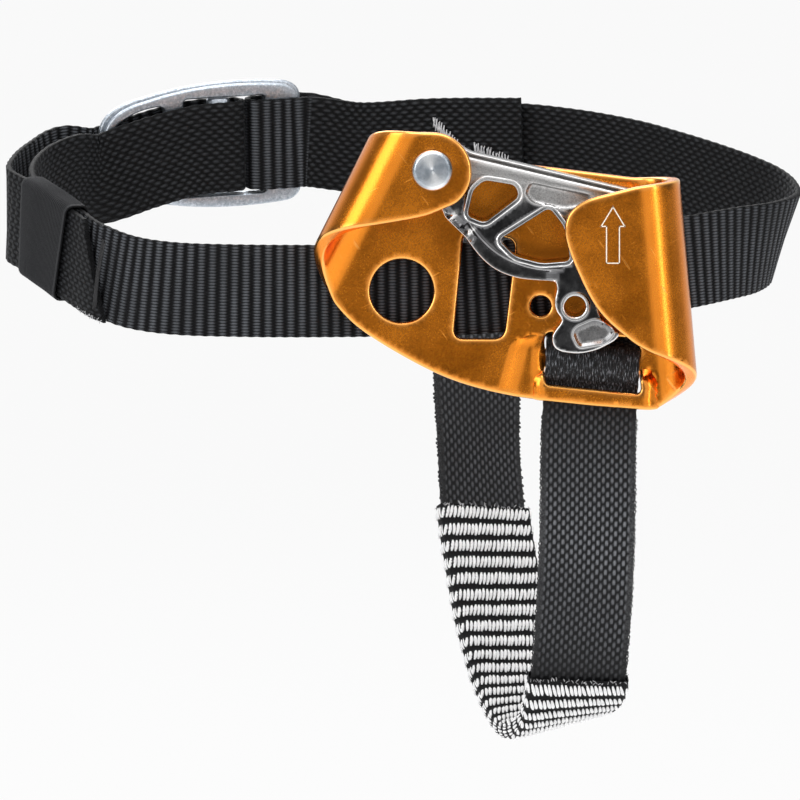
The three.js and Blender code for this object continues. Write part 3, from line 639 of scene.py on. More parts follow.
def turned_steel():
    """A turned face: fine concentric cuts that catch the light in a bow tie, with a painted bow-tie highlight
    in a fixed direction on top.
    """
    look = Look("turned_steel", Metallic=1.0, Anisotropic=0.8, Roughness=0.27)
    place = look.place()
    centre = look.node("ShaderNodeVectorMath", {0: place, 1: (PIVOT[0] * MM, 0, PIVOT[1] * MM)},
                       operation="SUBTRACT")
    flat = look.stretch(centre, (1, 0, 1))
    outward = look.node("ShaderNodeVectorMath", {0: flat}, operation="NORMALIZE")
    look.set("Tangent", look.node("ShaderNodeVectorMath", {0: outward, 1: (0, 1, 0)},
                                  operation="CROSS_PRODUCT"))
    radius = look.node("ShaderNodeVectorMath", {0: flat}, operation="LENGTH", output="Value")
    across = look.node("ShaderNodeVectorMath", {0: outward, 1: (-0.3, 0, 0.95)},
                       operation="DOT_PRODUCT", output="Value")
    # painted highlight: a near-white bow tie along a fixed direction, painted into the colour
    painted_bow_tie = look.math("POWER", look.math("ABSOLUTE", across), 5.0)
    wobble = look.noise(place, 900, 2)
    cuts = look.math("SINE", look.math("ADD", look.math("MULTIPLY", radius, 26000), wobble))
    base = look.colours(wobble, [(0.35, (0.30, 0.34, 0.38)), (0.7, (0.46, 0.50, 0.55))])
    look.set("Base Color", look.blend(painted_bow_tie, base, (0.92, 0.94, 0.96)))
    look.bump(cuts, 0.008, 0.5)
    look.bump(look.noise(place, 5000, 2), 0.01, 0.4)
    return look.material


def buckle_steel():
    """Tumbled steel: a cold satin with small bright and dark specks."""
    look = Look("buckle_steel", Metallic=1.0)
    place = look.place()
    specks = look.noise(place, 1500, 3, 0.75)
    patches = look.noise(place, 160, 3)
    base = look.colours(specks, [(0.3, (0.24, 0.28, 0.32)), (0.5, (0.40, 0.44, 0.49)),
                                 (0.7, (0.70, 0.74, 0.78))])
    look.set("Base Color", look.blend(look.span(patches, 0.3, 0.7, 0.0, 0.35), base, (0.50, 0.54, 0.60)))
    look.set("Roughness", look.span(specks, 0.3, 0.7, 0.5, 0.3))
    look.bump(specks, 0.09, 0.6)
    look.bump(patches, 0.1, 0.4)
    return look.material


def woven(name, low, high, thread_across, thread_along, sheen=0.05):
    """Black webbing: raised threads get a painted highlight and the low places painted shade, and each is
    drawn from fine filaments.

    The relief mark is the woven height; thread_across and thread_along are the filament sizes in mm.
    """
    look = Look(name, Roughness=0.75, Sheen_Weight=sheen, Sheen_Roughness=0.4, Specular_IOR_Level=0.22)
    look.shader.inputs["Sheen Tint"].default_value = (0.6, 0.62, 0.66, 1)
    weave = look.weave()
    relief = look.mark("relief")
    dust = look.noise(look.place(), 700, 3)
    filaments = look.noise(look.stretch(weave, (1000 / thread_along, 1000 / thread_across, 0)), 1.0, 2, 0.6)
    height = look.math("MULTIPLY", relief, look.span(filaments, 0.25, 0.75, 0.55, 1.15))
    # painted light: colour follows the woven height, lighter on crests and near black in the hollows
    base = look.colours(height, [(0.05, low), (0.95, high)])
    base = look.blend(look.span(dust, 0.52, 0.75, 0.0, 0.12), base, high)
    look.set("Base Color", base)
    look.bump(filaments, 0.14, 0.8)
    look.bump(dust, 0.06, 0.5)
    return look.material


def thread_look(name, low, high):
    """Sewing or wrapping thread: twisted filaments, a little fuzz, uneven colour."""
    look = Look(name, Roughness=0.7, Sheen_Weight=0.08, Sheen_Roughness=0.4, Specular_IOR_Level=0.3)
    place = look.place()
    tone = look.noise(place, 900, 2)
    fibre = look.noise(place, 6500, 2, 0.7)
    base = look.colours(tone, [(0.3, low), (0.7, high)])
    dark = tuple(0.45 * c for c in low)
    look.set("Base Color", look.blend(look.span(fibre, 0.3, 0.6, 0.5, 0.0), base, dark))
    look.bump(fibre, 0.08, 0.9)
    return look.material


def plain_steel(name="machined_steel"):
    look = Look(name, Metallic=1.0)
    place = look.place()
    tone = look.noise(place, 500, 3)
    look.set("Base Color", look.colours(tone, [(0.3, (0.5, 0.51, 0.52)), (0.7, (0.72, 0.73, 0.74))]))
    look.set("Roughness", look.span(tone, 0.3, 0.7, 0.2, 0.34))
    look.bump(look.noise(place, 4000, 2), 0.015, 0.6)
    return look.material


def marking():
    """Pale laser-marked line."""
    look = Look("laser_mark", Roughness=0.6, Metallic=0.2)
    grain = look.noise(look.place(), 5000, 2)
    look.set("Base Color", look.colours(grain, [(0.35, (0.75, 0.66, 0.52)), (0.65, (0.95, 0.9, 0.82))]))
    look.bump(grain, 0.01, 0.5)
    return look.material


# ------------------------------------------------------------------ folded frame
def fold_point(side, n, u):
    lean = math.radians(LEFT_LEAN if side < 0 else RIGHT_LEAN)
    return np.array([side * n * math.cos(lean) + u * math.sin(lean),
                     -side * n * math.sin(lean) + u * math.cos(lean)])


def fold_coordinates(side, flat):
    lean = math.radians(LEFT_LEAN if side < 0 else RIGHT_LEAN)
    n = side * (flat[:, 0] * math.cos(lean) - flat[:, 1] * math.sin(lean))
    return n, flat[:, 0] * math.sin(lean) + flat[:, 1] * math.cos(lean)


HALF_TURN = math.pi * FOLD_RADIUS


def unrolled(side, points):
    """Where flap points, given in the plate's coordinates, lie on the flat blank."""
    bend = LEFT_BEND if side < 0 else RIGHT_BEND
    n, u = fold_coordinates(side, np.array(points, float))
    return np.array([fold_point(side, 2 * bend + HALF_TURN - a, b) for a, b in zip(n, u)])


def formed(x, z):
    """How far the plate is pressed forward: the lower bar's joggle and the swelling beside it."""
    bar = smoothstep(x, 29.0, 31.0) * (1 - smoothstep(x, 53.3, 55.9)) * smoothstep(-z, 17.2, 19.7)
    contour = np.interp(-z, [8.3, 11.5, 18.0, 24.0], [33.3, 26.1, 24.3, 22.8])
    swelling = 1.25 * smoothstep(x - contour, -2.4, 2.6) * smoothstep(-z, 7.6, 11.2)
    swelling = swelling * (1 - 0.8 * smoothstep(x, 28.4, 31.4))
    return JOGGLE * bar + swelling * (1 - bar)


def folded(flat, height):
    """Bends the flat blank: plate, rolled sides and front flaps. Height is towards the front on the plate."""
    x, z = flat.T
    step = 0.05
    slope_x = (formed(x + step, z) - formed(x - step, z)) / (2 * step)
    slope_z = (formed(x, z + step) - formed(x, z - step)) / (2 * step)
    tilt = np.sqrt(1 + slope_x ** 2 + slope_z ** 2)
    points = np.stack([x - height * slope_x / tilt, SHEET / 2 - formed(x, z) - height / tilt,
                       z - height * slope_z / tilt], axis=1)
    for side, bend in ((-1, LEFT_BEND), (1, RIGHT_BEND)):
        n, u = fold_coordinates(side, flat)
        angle = np.clip((n - bend) / FOLD_RADIUS, 0, math.pi)
        past = np.maximum(n - bend - HALF_TURN, 0)
        reach = FOLD_RADIUS - height
        rolled_n = bend + reach * np.sin(angle) - past
        rolled_y = -CHANNEL / 2 + reach * np.cos(angle)
        lean = math.radians(LEFT_LEAN if side < 0 else RIGHT_LEAN)
        rolled = np.stack([side * rolled_n * math.cos(lean) + u * math.sin(lean), rolled_y,
                           -side * rolled_n * math.sin(lean) + u * math.cos(lean)], axis=1)
        if side > 0:
            rolled[:, 1] -= formed(x, z) * (1 - smoothstep(angle, 0, 0.5))
        points = np.where((n > bend)[:, None], rolled, points)
    return points + np.array([0, PLATE_FRONT_Y, 0])


def blank_outline():
    """The whole frame laid flat: plate, both rolled sides, the cam's lobe and the rope-side flap."""
    bottom = smooth_curve([fold_point(-1, LEFT_BEND, -8.7), (-9.6, -7.4), (-1.3, -12.9), (8.9, -18.2),
                           (18.9, -21.5), (28.9, -23.3), (42.4, -24.8)])
    flap = smooth_curve([(45.2, 22.3), (40.0, 20.8), (36.6, 18.0), (35.7, 14.6), (36.5, 10.5), (38.9, 4.6),
                         (41.9, -1.3), (45.2, -5.4), (51.1, -10.4)])[::-1]
    lobe_edge = smooth_curve([fold_point(-1, LEFT_BEND, 11.5), (0.3, 16.5), (5.7, 17.6), (10.6, 19.6)])
    lobe_arc = arc((PIVOT[0], PIVOT[1] - 0.4), 8.6, -55, 82)
    lobe = np.vstack([lobe_edge[1:], lobe_arc])[::-1]
    crown = arc(PIVOT, 6.6, 20, 150)
    return np.vstack([
        bottom,
        [fold_point(1, RIGHT_BEND, -30.5), fold_point(1, RIGHT_BEND + HALF_TURN, -16.9)],
        unrolled(1, flap),
        [fold_point(1, RIGHT_BEND + HALF_TURN, 19.3), fold_point(1, RIGHT_BEND, 20.2)],
        [(28.3, 27.6), (15.5, 29.3)], crown,
        [fold_point(-1, LEFT_BEND, 22), fold_point(-1, LEFT_BEND + HALF_TURN, 34)],
        unrolled(-1, lobe),
        [fold_point(-1, LEFT_BEND + HALF_TURN, 11.5)],
    ])


def make_shell(material):
    lobe_bore = unrolled(-1, arc(PIVOT, RIVET_BORE, 0, 345, 24))
    tall = [(13.9, 13.2), (25.2, 11.4), (22.6, -10.2), (11.6, -10.2)]
    upper = [(31.4, -8.9), (52.0, -10.4), (52.0, -15.0), (31.4, -13.3)]
    lower = [(31.4, -15.9), (52.1, -17.6), (52.4, -22.1), (31.5, -20.0)]
    holes = [arc((0.4, 0.2), 6.9, 0, 357, 120), arc((30.6, -3.1), 2.2, 0, 350, 48),
             arc(PIVOT, RIVET_BORE, 0, 350, 40), lobe_bore,
             rounded_polygon(tall, 2.2), rounded_polygon(upper, 1.9), rounded_polygon(lower, 1.1)]
    loops = [evenly(blank_outline(), 0.5, rounds=7)]
    loops += [evenly(hole, 0.42, rounds=1, counter_clockwise=False) for hole in holes]
    points, faces, edge = sheet(loops, folded, SHEET, 0.62, 0.95)
    piece("frame_shell", points, faces, "frame", material, ["shell"], marks={"edge": edge})


def make_arrow(material):
    """An engraved outline arrow on the rope-side flap, as thin lines on its face."""
    tip, base, foot = 19.5, 15.3, 7.3
    middle, head, shaft = 46.15, 2.55, 1.4
    line = [(middle, tip), (middle + head, base), (middle + shaft, base), (middle + shaft, foot),
            (middle - shaft, foot), (middle - shaft, base), (middle - head, base)]
    face = PLATE_FRONT_Y - CHANNEL - SHEET
    parts = []
    half = 0.12
    for (x0, z0), (x1, z1) in zip(line, line[1:] + line[:1]):
        along = np.array([x1 - x0, z1 - z0])
        size = np.linalg.norm(along)
        along /= size
        side = np.array([-along[1], along[0]]) * half
        start = np.array([x0, z0]) - along * half
        end = np.array([x1, z1]) + along * half
        corners = [start - side, end - side, end + side, start + side]
        box = np.array([(x, y, z) for y in (face + 0.01, face - 0.035) for x, z in corners])
        parts.append((box, [[0, 1, 2, 3], [7, 6, 5, 4], [0, 4, 5, 1], [1, 5, 6, 2], [2, 6, 7, 3],
                            [3, 7, 4, 0]]))
    points, faces = merged(parts)
    piece("direction_arrow", points, faces, "frame", material)


# ------------------------------------------------------------------ cam and pivot
def cam_outline():
    lower = smooth_curve([(14.2, 12.6), (17.2, 8.6), (20.7, 5.6), (25.2, 3.8), (30.0, 3.2)])
    tail = smooth_curve([(33.8, 3.0), (34.1, 1.4), (33.6, -1.4), (34.0, -3.6), (35.2, -5.4), (34.0, -7.3),
                         (33.0, -9.2), (34.0, -11.8), (38.3, -12.7), (42.6, -11.9), (46.6, -9.9)])
    thumb = smooth_curve([(47.9, -8.4), (46.2, -6.9), (43.6, -4.8), (43.2, -1.0), (45.0, 1.8)])
    nose = smooth_curve([(49.2, 4.6), (50.9, 9.0), (52.0, 14.5), (52.5, 20.6)])
    return np.vstack([arc(PIVOT, 7.4, 72, 282), [(9.7, 17.0), (11.5, 15.2)], lower, tail, thumb, nose,
                      [(51.4, 22.5), (15.4, 31.0)]])


CAM_WINDOWS = (
    rounded_polygon([(15.9, 22.9), (18.3, 25.0), (25.0, 23.9), (25.8, 21.4), (18.3, 15.7),
                     (14.6, 17.2)], 1.2),
    rounded_polygon([(32.4, 19.0), (35.6, 14.9), (37.0, 7.4), (30.7, 6.9), (25.0, 8.4), (21.4, 12.0)], 1.4),
)
CAM_POCKET = rounded_polygon([(27.0, 22.1), (28.3, 24.7), (41.5, 21.8), (42.0, 19.6), (35.7, 18.6),
                              (28.7, 20.1)], 1.0)
THUMB_POCKET = rounded_polygon([(37.6, -8.5), (38.3, -7.2), (42.2, -5.5), (45.0, -6.5), (46.4, -8.1),
                                (44.4, -10.2), (38.9, -11.2)], 0.8)
TAIL_HOLE = arc((38.0, -2.5), 2.3, 0, 350, 48)
STEP_ARC = smooth_curve([(15.0, 15.8), (17.4, 12.5), (21.1, 9.1), (26.1, 6.7), (31.1, 5.6), (35.2, 5.8)])
FLANGE = np.vstack([STEP_ARC, [(35.2, 2.2), (30.0, 2.4), (25.2, 2.9), (20.2, 4.6), (16.4, 7.6), (13.0, 12.2),
                               (11.6, 13.8)]])
TOP_EDGE = np.array([(15.4, 31.0), (51.4, 22.5)])
HEEL = np.array([(7.6, 19.1), (9.7, 17.0), (11.5, 15.2), (14.2, 12.6)])
HEEL_STEPS = (np.array([(10.4, 16.0), (12.4, 18.2)]), np.array([(14.0, 12.4), (16.0, 14.5)]))


def ridge(gap, middle, half_width):
    return np.exp(-((gap - middle) / half_width) ** 2)


def heel_steps(flat):
    """1 on the two short ribs across the heel."""
    return np.max([ridge(distance(flat, step, closed=False), 0, 0.45) for step in HEEL_STEPS], axis=0)


def cam_beads(flat):
    """Raised rims: 1 on a rim's crest."""
    beads = np.zeros(len(flat))
    for window in CAM_WINDOWS:
        beads = np.maximum(beads, ridge(distance(flat, window), 0.95, 0.18))
    beads = np.maximum(beads, ridge(distance(flat, TAIL_HOLE), 0.62, 0.25))
    outer_thumb = np.where(inside(flat, [THUMB_POCKET]), -1, 1) * distance(flat, THUMB_POCKET)
    beads = np.maximum(beads, ridge(outer_thumb, 0.35, 0.26))
    outer_pocket = np.where(inside(flat, [CAM_POCKET]), -1, 1) * distance(flat, CAM_POCKET)
    beads = np.maximum(beads, 0.75 * ridge(outer_pocket, 0.1, 0.26))
    beads = np.maximum(beads, 0.7 * ridge(distance(flat, STEP_ARC, closed=False), 0.15, 0.3))
    top = distance(flat, TOP_EDGE, closed=False)
    on_top = smoothstep(flat[:, 0], 12, 15)
    return np.maximum(beads, on_top * np.maximum(ridge(top, 1.55, 0.38), 0.55 * ridge(top, 3.5, 0.24)))


def cam_recess(flat):
    """1 on the floors of the pockets."""
    floors = np.zeros(len(flat))
    for pocket in (CAM_POCKET, THUMB_POCKET):
        floors = np.maximum(floors, inside(flat, [pocket]) * smoothstep(distance(flat, pocket), 0.05, 0.5))
    return floors


def cam_relief(flat):
    height = 0.17 * cam_beads(flat) - 0.75 * cam_recess(flat)
    step = inside(flat, [FLANGE]) * smoothstep(distance(flat, STEP_ARC, closed=False), 0.1, 0.55)
    height -= 0.85 * step * (1 - smoothstep(flat[:, 0], 31.5, 34.8))
    top = distance(flat, TOP_EDGE, closed=False)
    height -= 1.1 * (1 - smoothstep(top, 0.5, 1.35))
    heel = distance(flat, HEEL, closed=False)
    slope = 1.1 * (1 - smoothstep(heel, 0.2, 2.3))
    return height - slope * (1 - heel_steps(flat))


def make_cam(material):
    middle = (CAM_FRONT + CAM_BACK) / 2

    def place(flat, height):
        return np.stack([flat[:, 0], PLATE_FRONT_Y + middle - height, flat[:, 1]], axis=1)

    loops = [evenly(cam_outline(), 0.45, rounds=2)]
    loops += [evenly(hole, 0.4, counter_clockwise=False)
              for hole in (arc(PIVOT, BUSH_BORE, 0, 354, 60), TAIL_HOLE, *CAM_WINDOWS)]
    creases = []
    for loop in (*CAM_WINDOWS, CAM_POCKET, THUMB_POCKET, TAIL_HOLE):
        even = evenly(loop, 0.42)
        outward = -inward(even)
        creases += [(even + outward * gap, True) for gap in (-0.4, 0.08, 0.42, 0.68, 0.82, 0.95, 1.08, 1.25)]
    creases.append((evenly_open(STEP_ARC, 0.45), False))
    creases += [(evenly_open(shifted_line(STEP_ARC, gap), 0.45), False) for gap in (-0.6, -0.3, 0.3, 0.6)]
    creases += [(evenly_open(shifted_line(TOP_EDGE, gap), 0.5), False)
                for gap in (-0.55, -0.95, -1.3, -1.55, -1.85, -2.2, -3.2, -3.5, -3.8)]
    creases += [(evenly_open(shifted_line(HEEL, gap), 0.4), False) for gap in (0.6, 1.1, 1.7, 2.4)]
    points, faces, edge = sheet(loops, place, CAM_BACK - CAM_FRONT, 0.3, 0.5, creases, cam_relief)
    flat = points[:, [0, 2]]
    facing = points[:, 1] < PLATE_FRONT_Y + CAM_FRONT + 2.2
    top = distance(flat, TOP_EDGE, closed=False)
    satin = 0.75 * (1 - smoothstep(top, 5.5, 9.5))
    dull = np.where(inside(flat, [THUMB_POCKET]), 0.35, 0.75)
    recess = np.maximum(dull * cam_recess(flat), satin) * facing
    # painted highlight: bead crests, heel steps and the rounded edges (less beside the windows) are marked to
    # be painted near white
    bright = np.maximum(cam_beads(flat) ** 4, heel_steps(flat))
    by_window = 1 - smoothstep(min_distance(flat, CAM_WINDOWS), 0.5, 0.8)
    edge = np.maximum((0.85 - 0.6 * by_window) * edge, bright * facing)
    piece("toothed_cam", points, faces, "cam", material, ["cam"], smooth_angle=50,
          marks={"edge": edge, "recess": recess})
    make_teeth(material)


def evenly_open(line, spacing):
    gaps = np.linalg.norm(np.diff(line, axis=0), axis=1)
    length = np.concatenate([[0], np.cumsum(gaps)])
    at = np.linspace(0, length[-1], int(length[-1] / spacing) + 1)
    return np.stack([np.interp(at, length, line[:, k]) for k in range(2)], axis=1)


def shifted_line(line, gap):
    """An open line moved sideways, to its left for a positive gap."""
    along = np.gradient(line, axis=0)
    along /= np.linalg.norm(along, axis=1)[:, None]
    return line + gap * np.stack([-along[:, 1], along[:, 0]], axis=1)


def make_teeth(material):
    """Small conical teeth in rows on the cam's nose, leaning down towards the tail."""
    nose = evenly_open(smooth_curve([(49.2, 4.6), (50.9, 9.0), (52.0, 14.5), (52.5, 20.6)]), 1.95)[1:-1]
    parts = []
    rows = 4
    for index, (x, z) in enumerate(nose):
        for row in range(rows):
            y = CAM_FRONT + 1.3 + (row + 0.5 * (index % 2)) * 1.6
            base = np.array([x - 0.3, PLATE_FRONT_Y + y, z])
            parts.append(tube([base, base + (0.5, 0, -0.12), base + (0.95, 0, -0.3), base + (1.1, 0, -0.36)],
                              0.55, sides=8, taper=0.25))
    points, faces = merged(parts)
    # painted highlight: the teeth are painted part way to near white through the edge mark
    piece("cam_teeth", points, faces, "cam", material,
          marks={"edge": np.full(len(points), 0.4), "recess": np.zeros(len(points))})


def lathe_piece(name, profile, material, replaces, closed_profile):
    rows = lathe_rows(profile, PIVOT)
    count, segments = rows.shape[:2]
    faces = grid_faces(count, segments, wrap_columns=True, wrap_rows=closed_profile, flip=True).tolist()
    if not closed_profile:
        faces.append(list(range(segments)))
        faces.append([(count - 1) * segments + k for k in range(segments)][::-1])
    piece(name, rows.reshape(-1, 3), faces, "frame", material, replaces)


def ring_profile(inner, outer, low, high, edge=0.2):
    """A washer's section with rounded corners, with y measured in the part's frame."""
    low, high = low + PLATE_FRONT_Y, high + PLATE_FRONT_Y
    return [(inner, low + edge), (inner + edge, low), (outer - edge, low),
            (outer - edge * 0.3, low + edge * 0.3),
            (outer, low + edge), (outer, high - edge), (outer - edge * 0.3, high - edge * 0.3),
            (outer - edge, high), (inner + edge, high), (inner, high - edge)]


def make_pivot(turned, plain):
    front = PLATE_FRONT_Y - CHANNEL - SHEET - CLEAR
    back = PLATE_FRONT_Y + SHEET + 2 * CLEAR + 0.9
    head = RIVET_HEAD_HEIGHT
    profile = [(0.12, front - head + 0.1), (0.45, front - head + 0.02), (0.8, front - head - 0.02),
               (2.4, front - head), (3.5, front - head + 0.02), (3.75, front - head + 0.08),
               (3.95, front - head + 0.28), (4.25, front - head + 0.5), (RIVET_HEAD, front - head + 0.72),
               (RIVET_HEAD, front), (RIVET_RADIUS, front), (RIVET_RADIUS, back), (RIVET_HEAD, back),
               (RIVET_HEAD, back + 0.4), (4.2, back + 0.75), (3.7, back + 1.0), (2.6, back + head),
               (0.3, back + head)]
    lathe_piece("rivet", profile, turned, ["cam_rivet"], False)
    lathe_piece("bush", ring_profile(RIVET_BORE, BUSH_RADIUS, -CHANNEL + CLEAR, -CLEAR), plain,
                ["pivot_bush"], True)
    lathe_piece("front_washer", ring_profile(BUSH_BORE, 6.6, -CHANNEL + CLEAR, CAM_FRONT - CLEAR), plain,
                ["washer_front"], True)
    lathe_piece("back_washer", ring_profile(RIVET_BORE, 5.4, SHEET + CLEAR, SHEET + CLEAR + 0.9), plain,
                ["rivet_washer"], True)
    turns, coil, wire, pocket = 3.25, 5.7, 0.45, 3.2
    t = np.linspace(0, 1, 140)
    angle = t * turns * 2 * math.pi
    rise = pocket - 2 * wire - 0.2 + 1.6
    path = np.stack([PIVOT[0] + coil * np.cos(angle),
                     PLATE_FRONT_Y + CAM_BACK - pocket + wire + 0.2 + t * rise,
                     PIVOT[1] + coil * np.sin(angle)], axis=1)
    points, faces = tube(path, wire, sides=8)
    piece("cam_spring", points, faces, "frame", plain, ["torsion_spring"])


# ------------------------------------------------------------------ buckle
def buckle_outline(scale):
    right, top = scale * BUCKLE_LENGTH / 2, scale * BUCKLE_HEIGHT / 2
    return np.vstack([
        bezier((right - 3, -top + 1.2), (right, -top + 2), (right, -top + 5)),
        bezier((right, top - 5), (right, top - 1.6), (right - 4, top - 1)),
        bezier((right - 4, top - 1), (2, top + 0.8), (-right + 10, top - 3), 16),
        bezier((-right + 10, top - 3), (-right, top - 5), (-right, top - 11)),
        bezier((-right, -top + 11), (-right, -top + 5), (-right + 10, -top + 3)),
        bezier((-right + 10, -top + 3), (2, -top - 0.8), (right - 3, -top + 1.2), 16),
    ])


def make_buckle_plate(name, middle, scale, body, material, replaces):
    window = [(-4.2, BUCKLE_WINDOW_HALF), (BUCKLE_SIDE_BAR, BUCKLE_WINDOW_HALF),
              (BUCKLE_SIDE_BAR, -BUCKLE_WINDOW_HALF), (-4.2, -BUCKLE_WINDOW_HALF)]
    pull = [(-20.4, 5.6), (-14.5, 9.0), (-8.2, 10.0), (-8.2, -10.0), (-14.5, -9.0), (-20.4, -5.6)]

    def place(flat, height):
        return in_buckle(np.stack([flat[:, 0], middle - height, flat[:, 1]], axis=1))

    loops = [evenly(buckle_outline(scale), 0.7, rounds=2)]
    loops += [evenly(hole, 0.6, counter_clockwise=False)
              for hole in (rounded_polygon(window, 1.0), rounded_polygon(pull, 2.4))]
    points, faces, edge = sheet(loops, place, BUCKLE_PLATE, 0.45, 1.5)
    piece(name, points, faces, body, material, replaces, marks={"edge": edge})


def make_buckle(material):
    middle = (BUCKLE_GAP + BUCKLE_PLATE) / 2
    make_buckle_plate("buckle_outer_plate", middle, 1.0, "frame", material, ["buckle_frame"])
    make_buckle_plate("buckle_inner_plate", -middle, 0.97, "buckle_lock", material, ["buckle_slider"])
    angles = np.linspace(0, 2 * math.pi, 28, endpoint=False)
    power = 0.6                            # below 1 gives a bar with rounded corners
    x = BUCKLE_BAR_X + BUCKLE_BAR_WIDTH / 2 * np.sign(np.cos(angles)) * np.abs(np.cos(angles)) ** power
    y = BUCKLE_BAR_DEPTH / 2 * np.sign(np.sin(angles)) * np.abs(np.sin(angles)) ** power
    reach = BUCKLE_WINDOW_HALF - CLEAR
    ends = [(-reach, 0.86), (-reach + 0.3, 1.0), (0, 1.0), (reach - 0.3, 1.0), (reach, 0.86)]
    rows = [np.stack([BUCKLE_BAR_X + (x - BUCKLE_BAR_X) * size, y * size, np.full(28, z)], axis=1)
            for z, size in ends]
    faces = grid_faces(len(rows), 28, wrap_columns=True).tolist()
    faces += [list(range(28))[::-1], [(len(rows) - 1) * 28 + k for k in range(28)]]
    points = in_buckle(np.vstack(rows))
    piece("buckle_grip_bar", points, faces, "buckle_lock", material, ["buckle_bar"])


# ------------------------------------------------------------------ webbing
def ribs(along, across, pitch=RIB_PITCH):
    """Rounded ribs across the webbing: 1 on a rib's crest."""
    return (0.5 - 0.5 * np.cos(2 * math.pi * along / pitch)) ** 0.38 + 0 * across


def dashes(along, across, pitch=2.1, column=0.95):
    """Floats of a brick weave: 1 on the middle of a float."""
    place = across / column
    row = np.floor(place)
    side = (place - row - 0.5) / 0.5
    phase = along / pitch + 0.5 * np.mod(row, 2)
    ahead = (phase - np.round(phase)) / 0.39
    return np.sqrt(np.clip(1 - side ** 2 - ahead ** 2, 0, 1))


def flat_weave(along, across):
    """The inner face of the ribbed webbing: low, close floats."""
    return 0.75 + 0.25 * np.cos(2 * math.pi * along / RIB_PITCH) + 0 * across


def strap(name, route, start, end, width, faces_weave, columns, step, depth, body, material, replaces,
          end_cut=0.0, flat_until=0.0, wear_and_glint=(0, 0),
          lit=(0, 0)):
    """Webbing along a route. faces_weave is the relief of the (front, back) face, front being where the
    route's normal points; end_cut is how much shorter the far end is at one edge than at the other;
    before the station flat_until the back face is woven like the front one; between the stations worn the
    weave is rubbed to standing fibres; between the stations lit it is paler in the middle."""
    first, last = route.length_at(start), route.length_at(end)
    along = np.linspace(first, last, int((last - first) / step) + 1)
    half, thick = width / 2, WEBBING / 2
    side = np.linspace(-1, 1, columns)
    lead = np.array([0.995, 1.0, 1.0, 0.995])
    heights = np.array([0.62, 0.25, -0.25, -0.62])
    across = np.concatenate([side * 0.985, lead, -side * 0.985, -lead]) * half
    offset = np.concatenate([np.full(columns, thick), heights * thick, np.full(columns, -thick),
                             -heights * thick])
    face = np.concatenate([np.ones(columns), np.zeros(4), -np.ones(columns), np.zeros(4)])
    s, v = np.meshgrid(along, across, indexing="ij")
    if end_cut:
        reach = 14.0
        into = np.clip((s - (last - reach)) / reach, 0, 1)
        s = s - into * end_cut * (0.5 + 0.5 * v / half)
    turned = (s < route.length_at(flat_until)) & (face[None] < 0)
    relief_front, relief_back = faces_weave[0](s, v), faces_weave[1](s, v)
    relief_back = np.where(turned, relief_front, relief_back)
    relief = np.where(face > 0, relief_front, np.where(face < 0, relief_back, 0.35))
    low, high = (route.length_at(place) for place in wear_and_glint)
    roll = smoothstep(s, low - 1.0, low + 0.5) * (1 - smoothstep(s, high - 1.5, high))
    relief = relief * (1 - roll) + 0.85 * roll
    # painted light: between the lit stations the webbing is paler in the middle and painted darker towards
    # its ends
    low, high = (route.length_at(place) for place in lit)
    share = np.clip((s - low) / max(high - low, 1e-6), 0, 1)
    paler = np.where((share > 0) & (share < 1), np.sin(math.pi * share) ** 0.8, 0.45)
    n = offset[None] - np.sign(offset)[None] * depth * (1 - relief) * (face != 0)
    edge_wave = 0.12 * (0.5 + 0.5 * np.cos(2 * math.pi * s / RIB_PITCH)) * (face == 0)
    v = v + np.sign(v) * edge_wave
    points = route.points(s, v, n)
    count = len(across)
    faces = grid_faces(len(along), count, wrap_columns=True, flip=True).tolist()
    faces.append(list(range(count)))
    faces.append([(len(along) - 1) * count + k for k in range(count)][::-1])
    weave = np.stack([s, v + 30.0 + 60.0 * (face[None] < 0)], axis=-1)
    rim = np.broadcast_to(smoothstep(np.abs(across) / half, 0.86, 0.93), s.shape)
    return piece(name, points.reshape(-1, 3), faces, body, material, replaces, smooth_angle=60,
                 weave=weave.reshape(-1, 2),
                 marks={"relief": relief.ravel(), "wear_and_glint": roll.ravel(), "lit": paler.ravel(),
                        "back": ((face[None] < 0) & ~turned).ravel(), "rim": rim.ravel()})


def brick_relief(look, along, across, pitch, column):
    """The node form of dashes(), for weave too fine for the mesh."""
    place = look.math("DIVIDE", across, column * MM)
    row = look.math("FLOOR", place)
    side = look.math("MULTIPLY", look.math("SUBTRACT", look.math("SUBTRACT", place, row), 0.5), 2.1)
    shift = look.math("MULTIPLY", look.math("MODULO", row, 2.0), 0.5)
    phase = look.math("ADD", look.math("DIVIDE", along, pitch * MM), shift)
    ahead = look.math("MULTIPLY", look.math("SUBTRACT", look.math("FRACT", phase), 0.5), 2.35)
    squares = look.math("ADD", look.math("MULTIPLY", side, side), look.math("MULTIPLY", ahead, ahead))
    return look.math("SQRT", look.math("SUBTRACT", 1.0, squares, clamp=True))


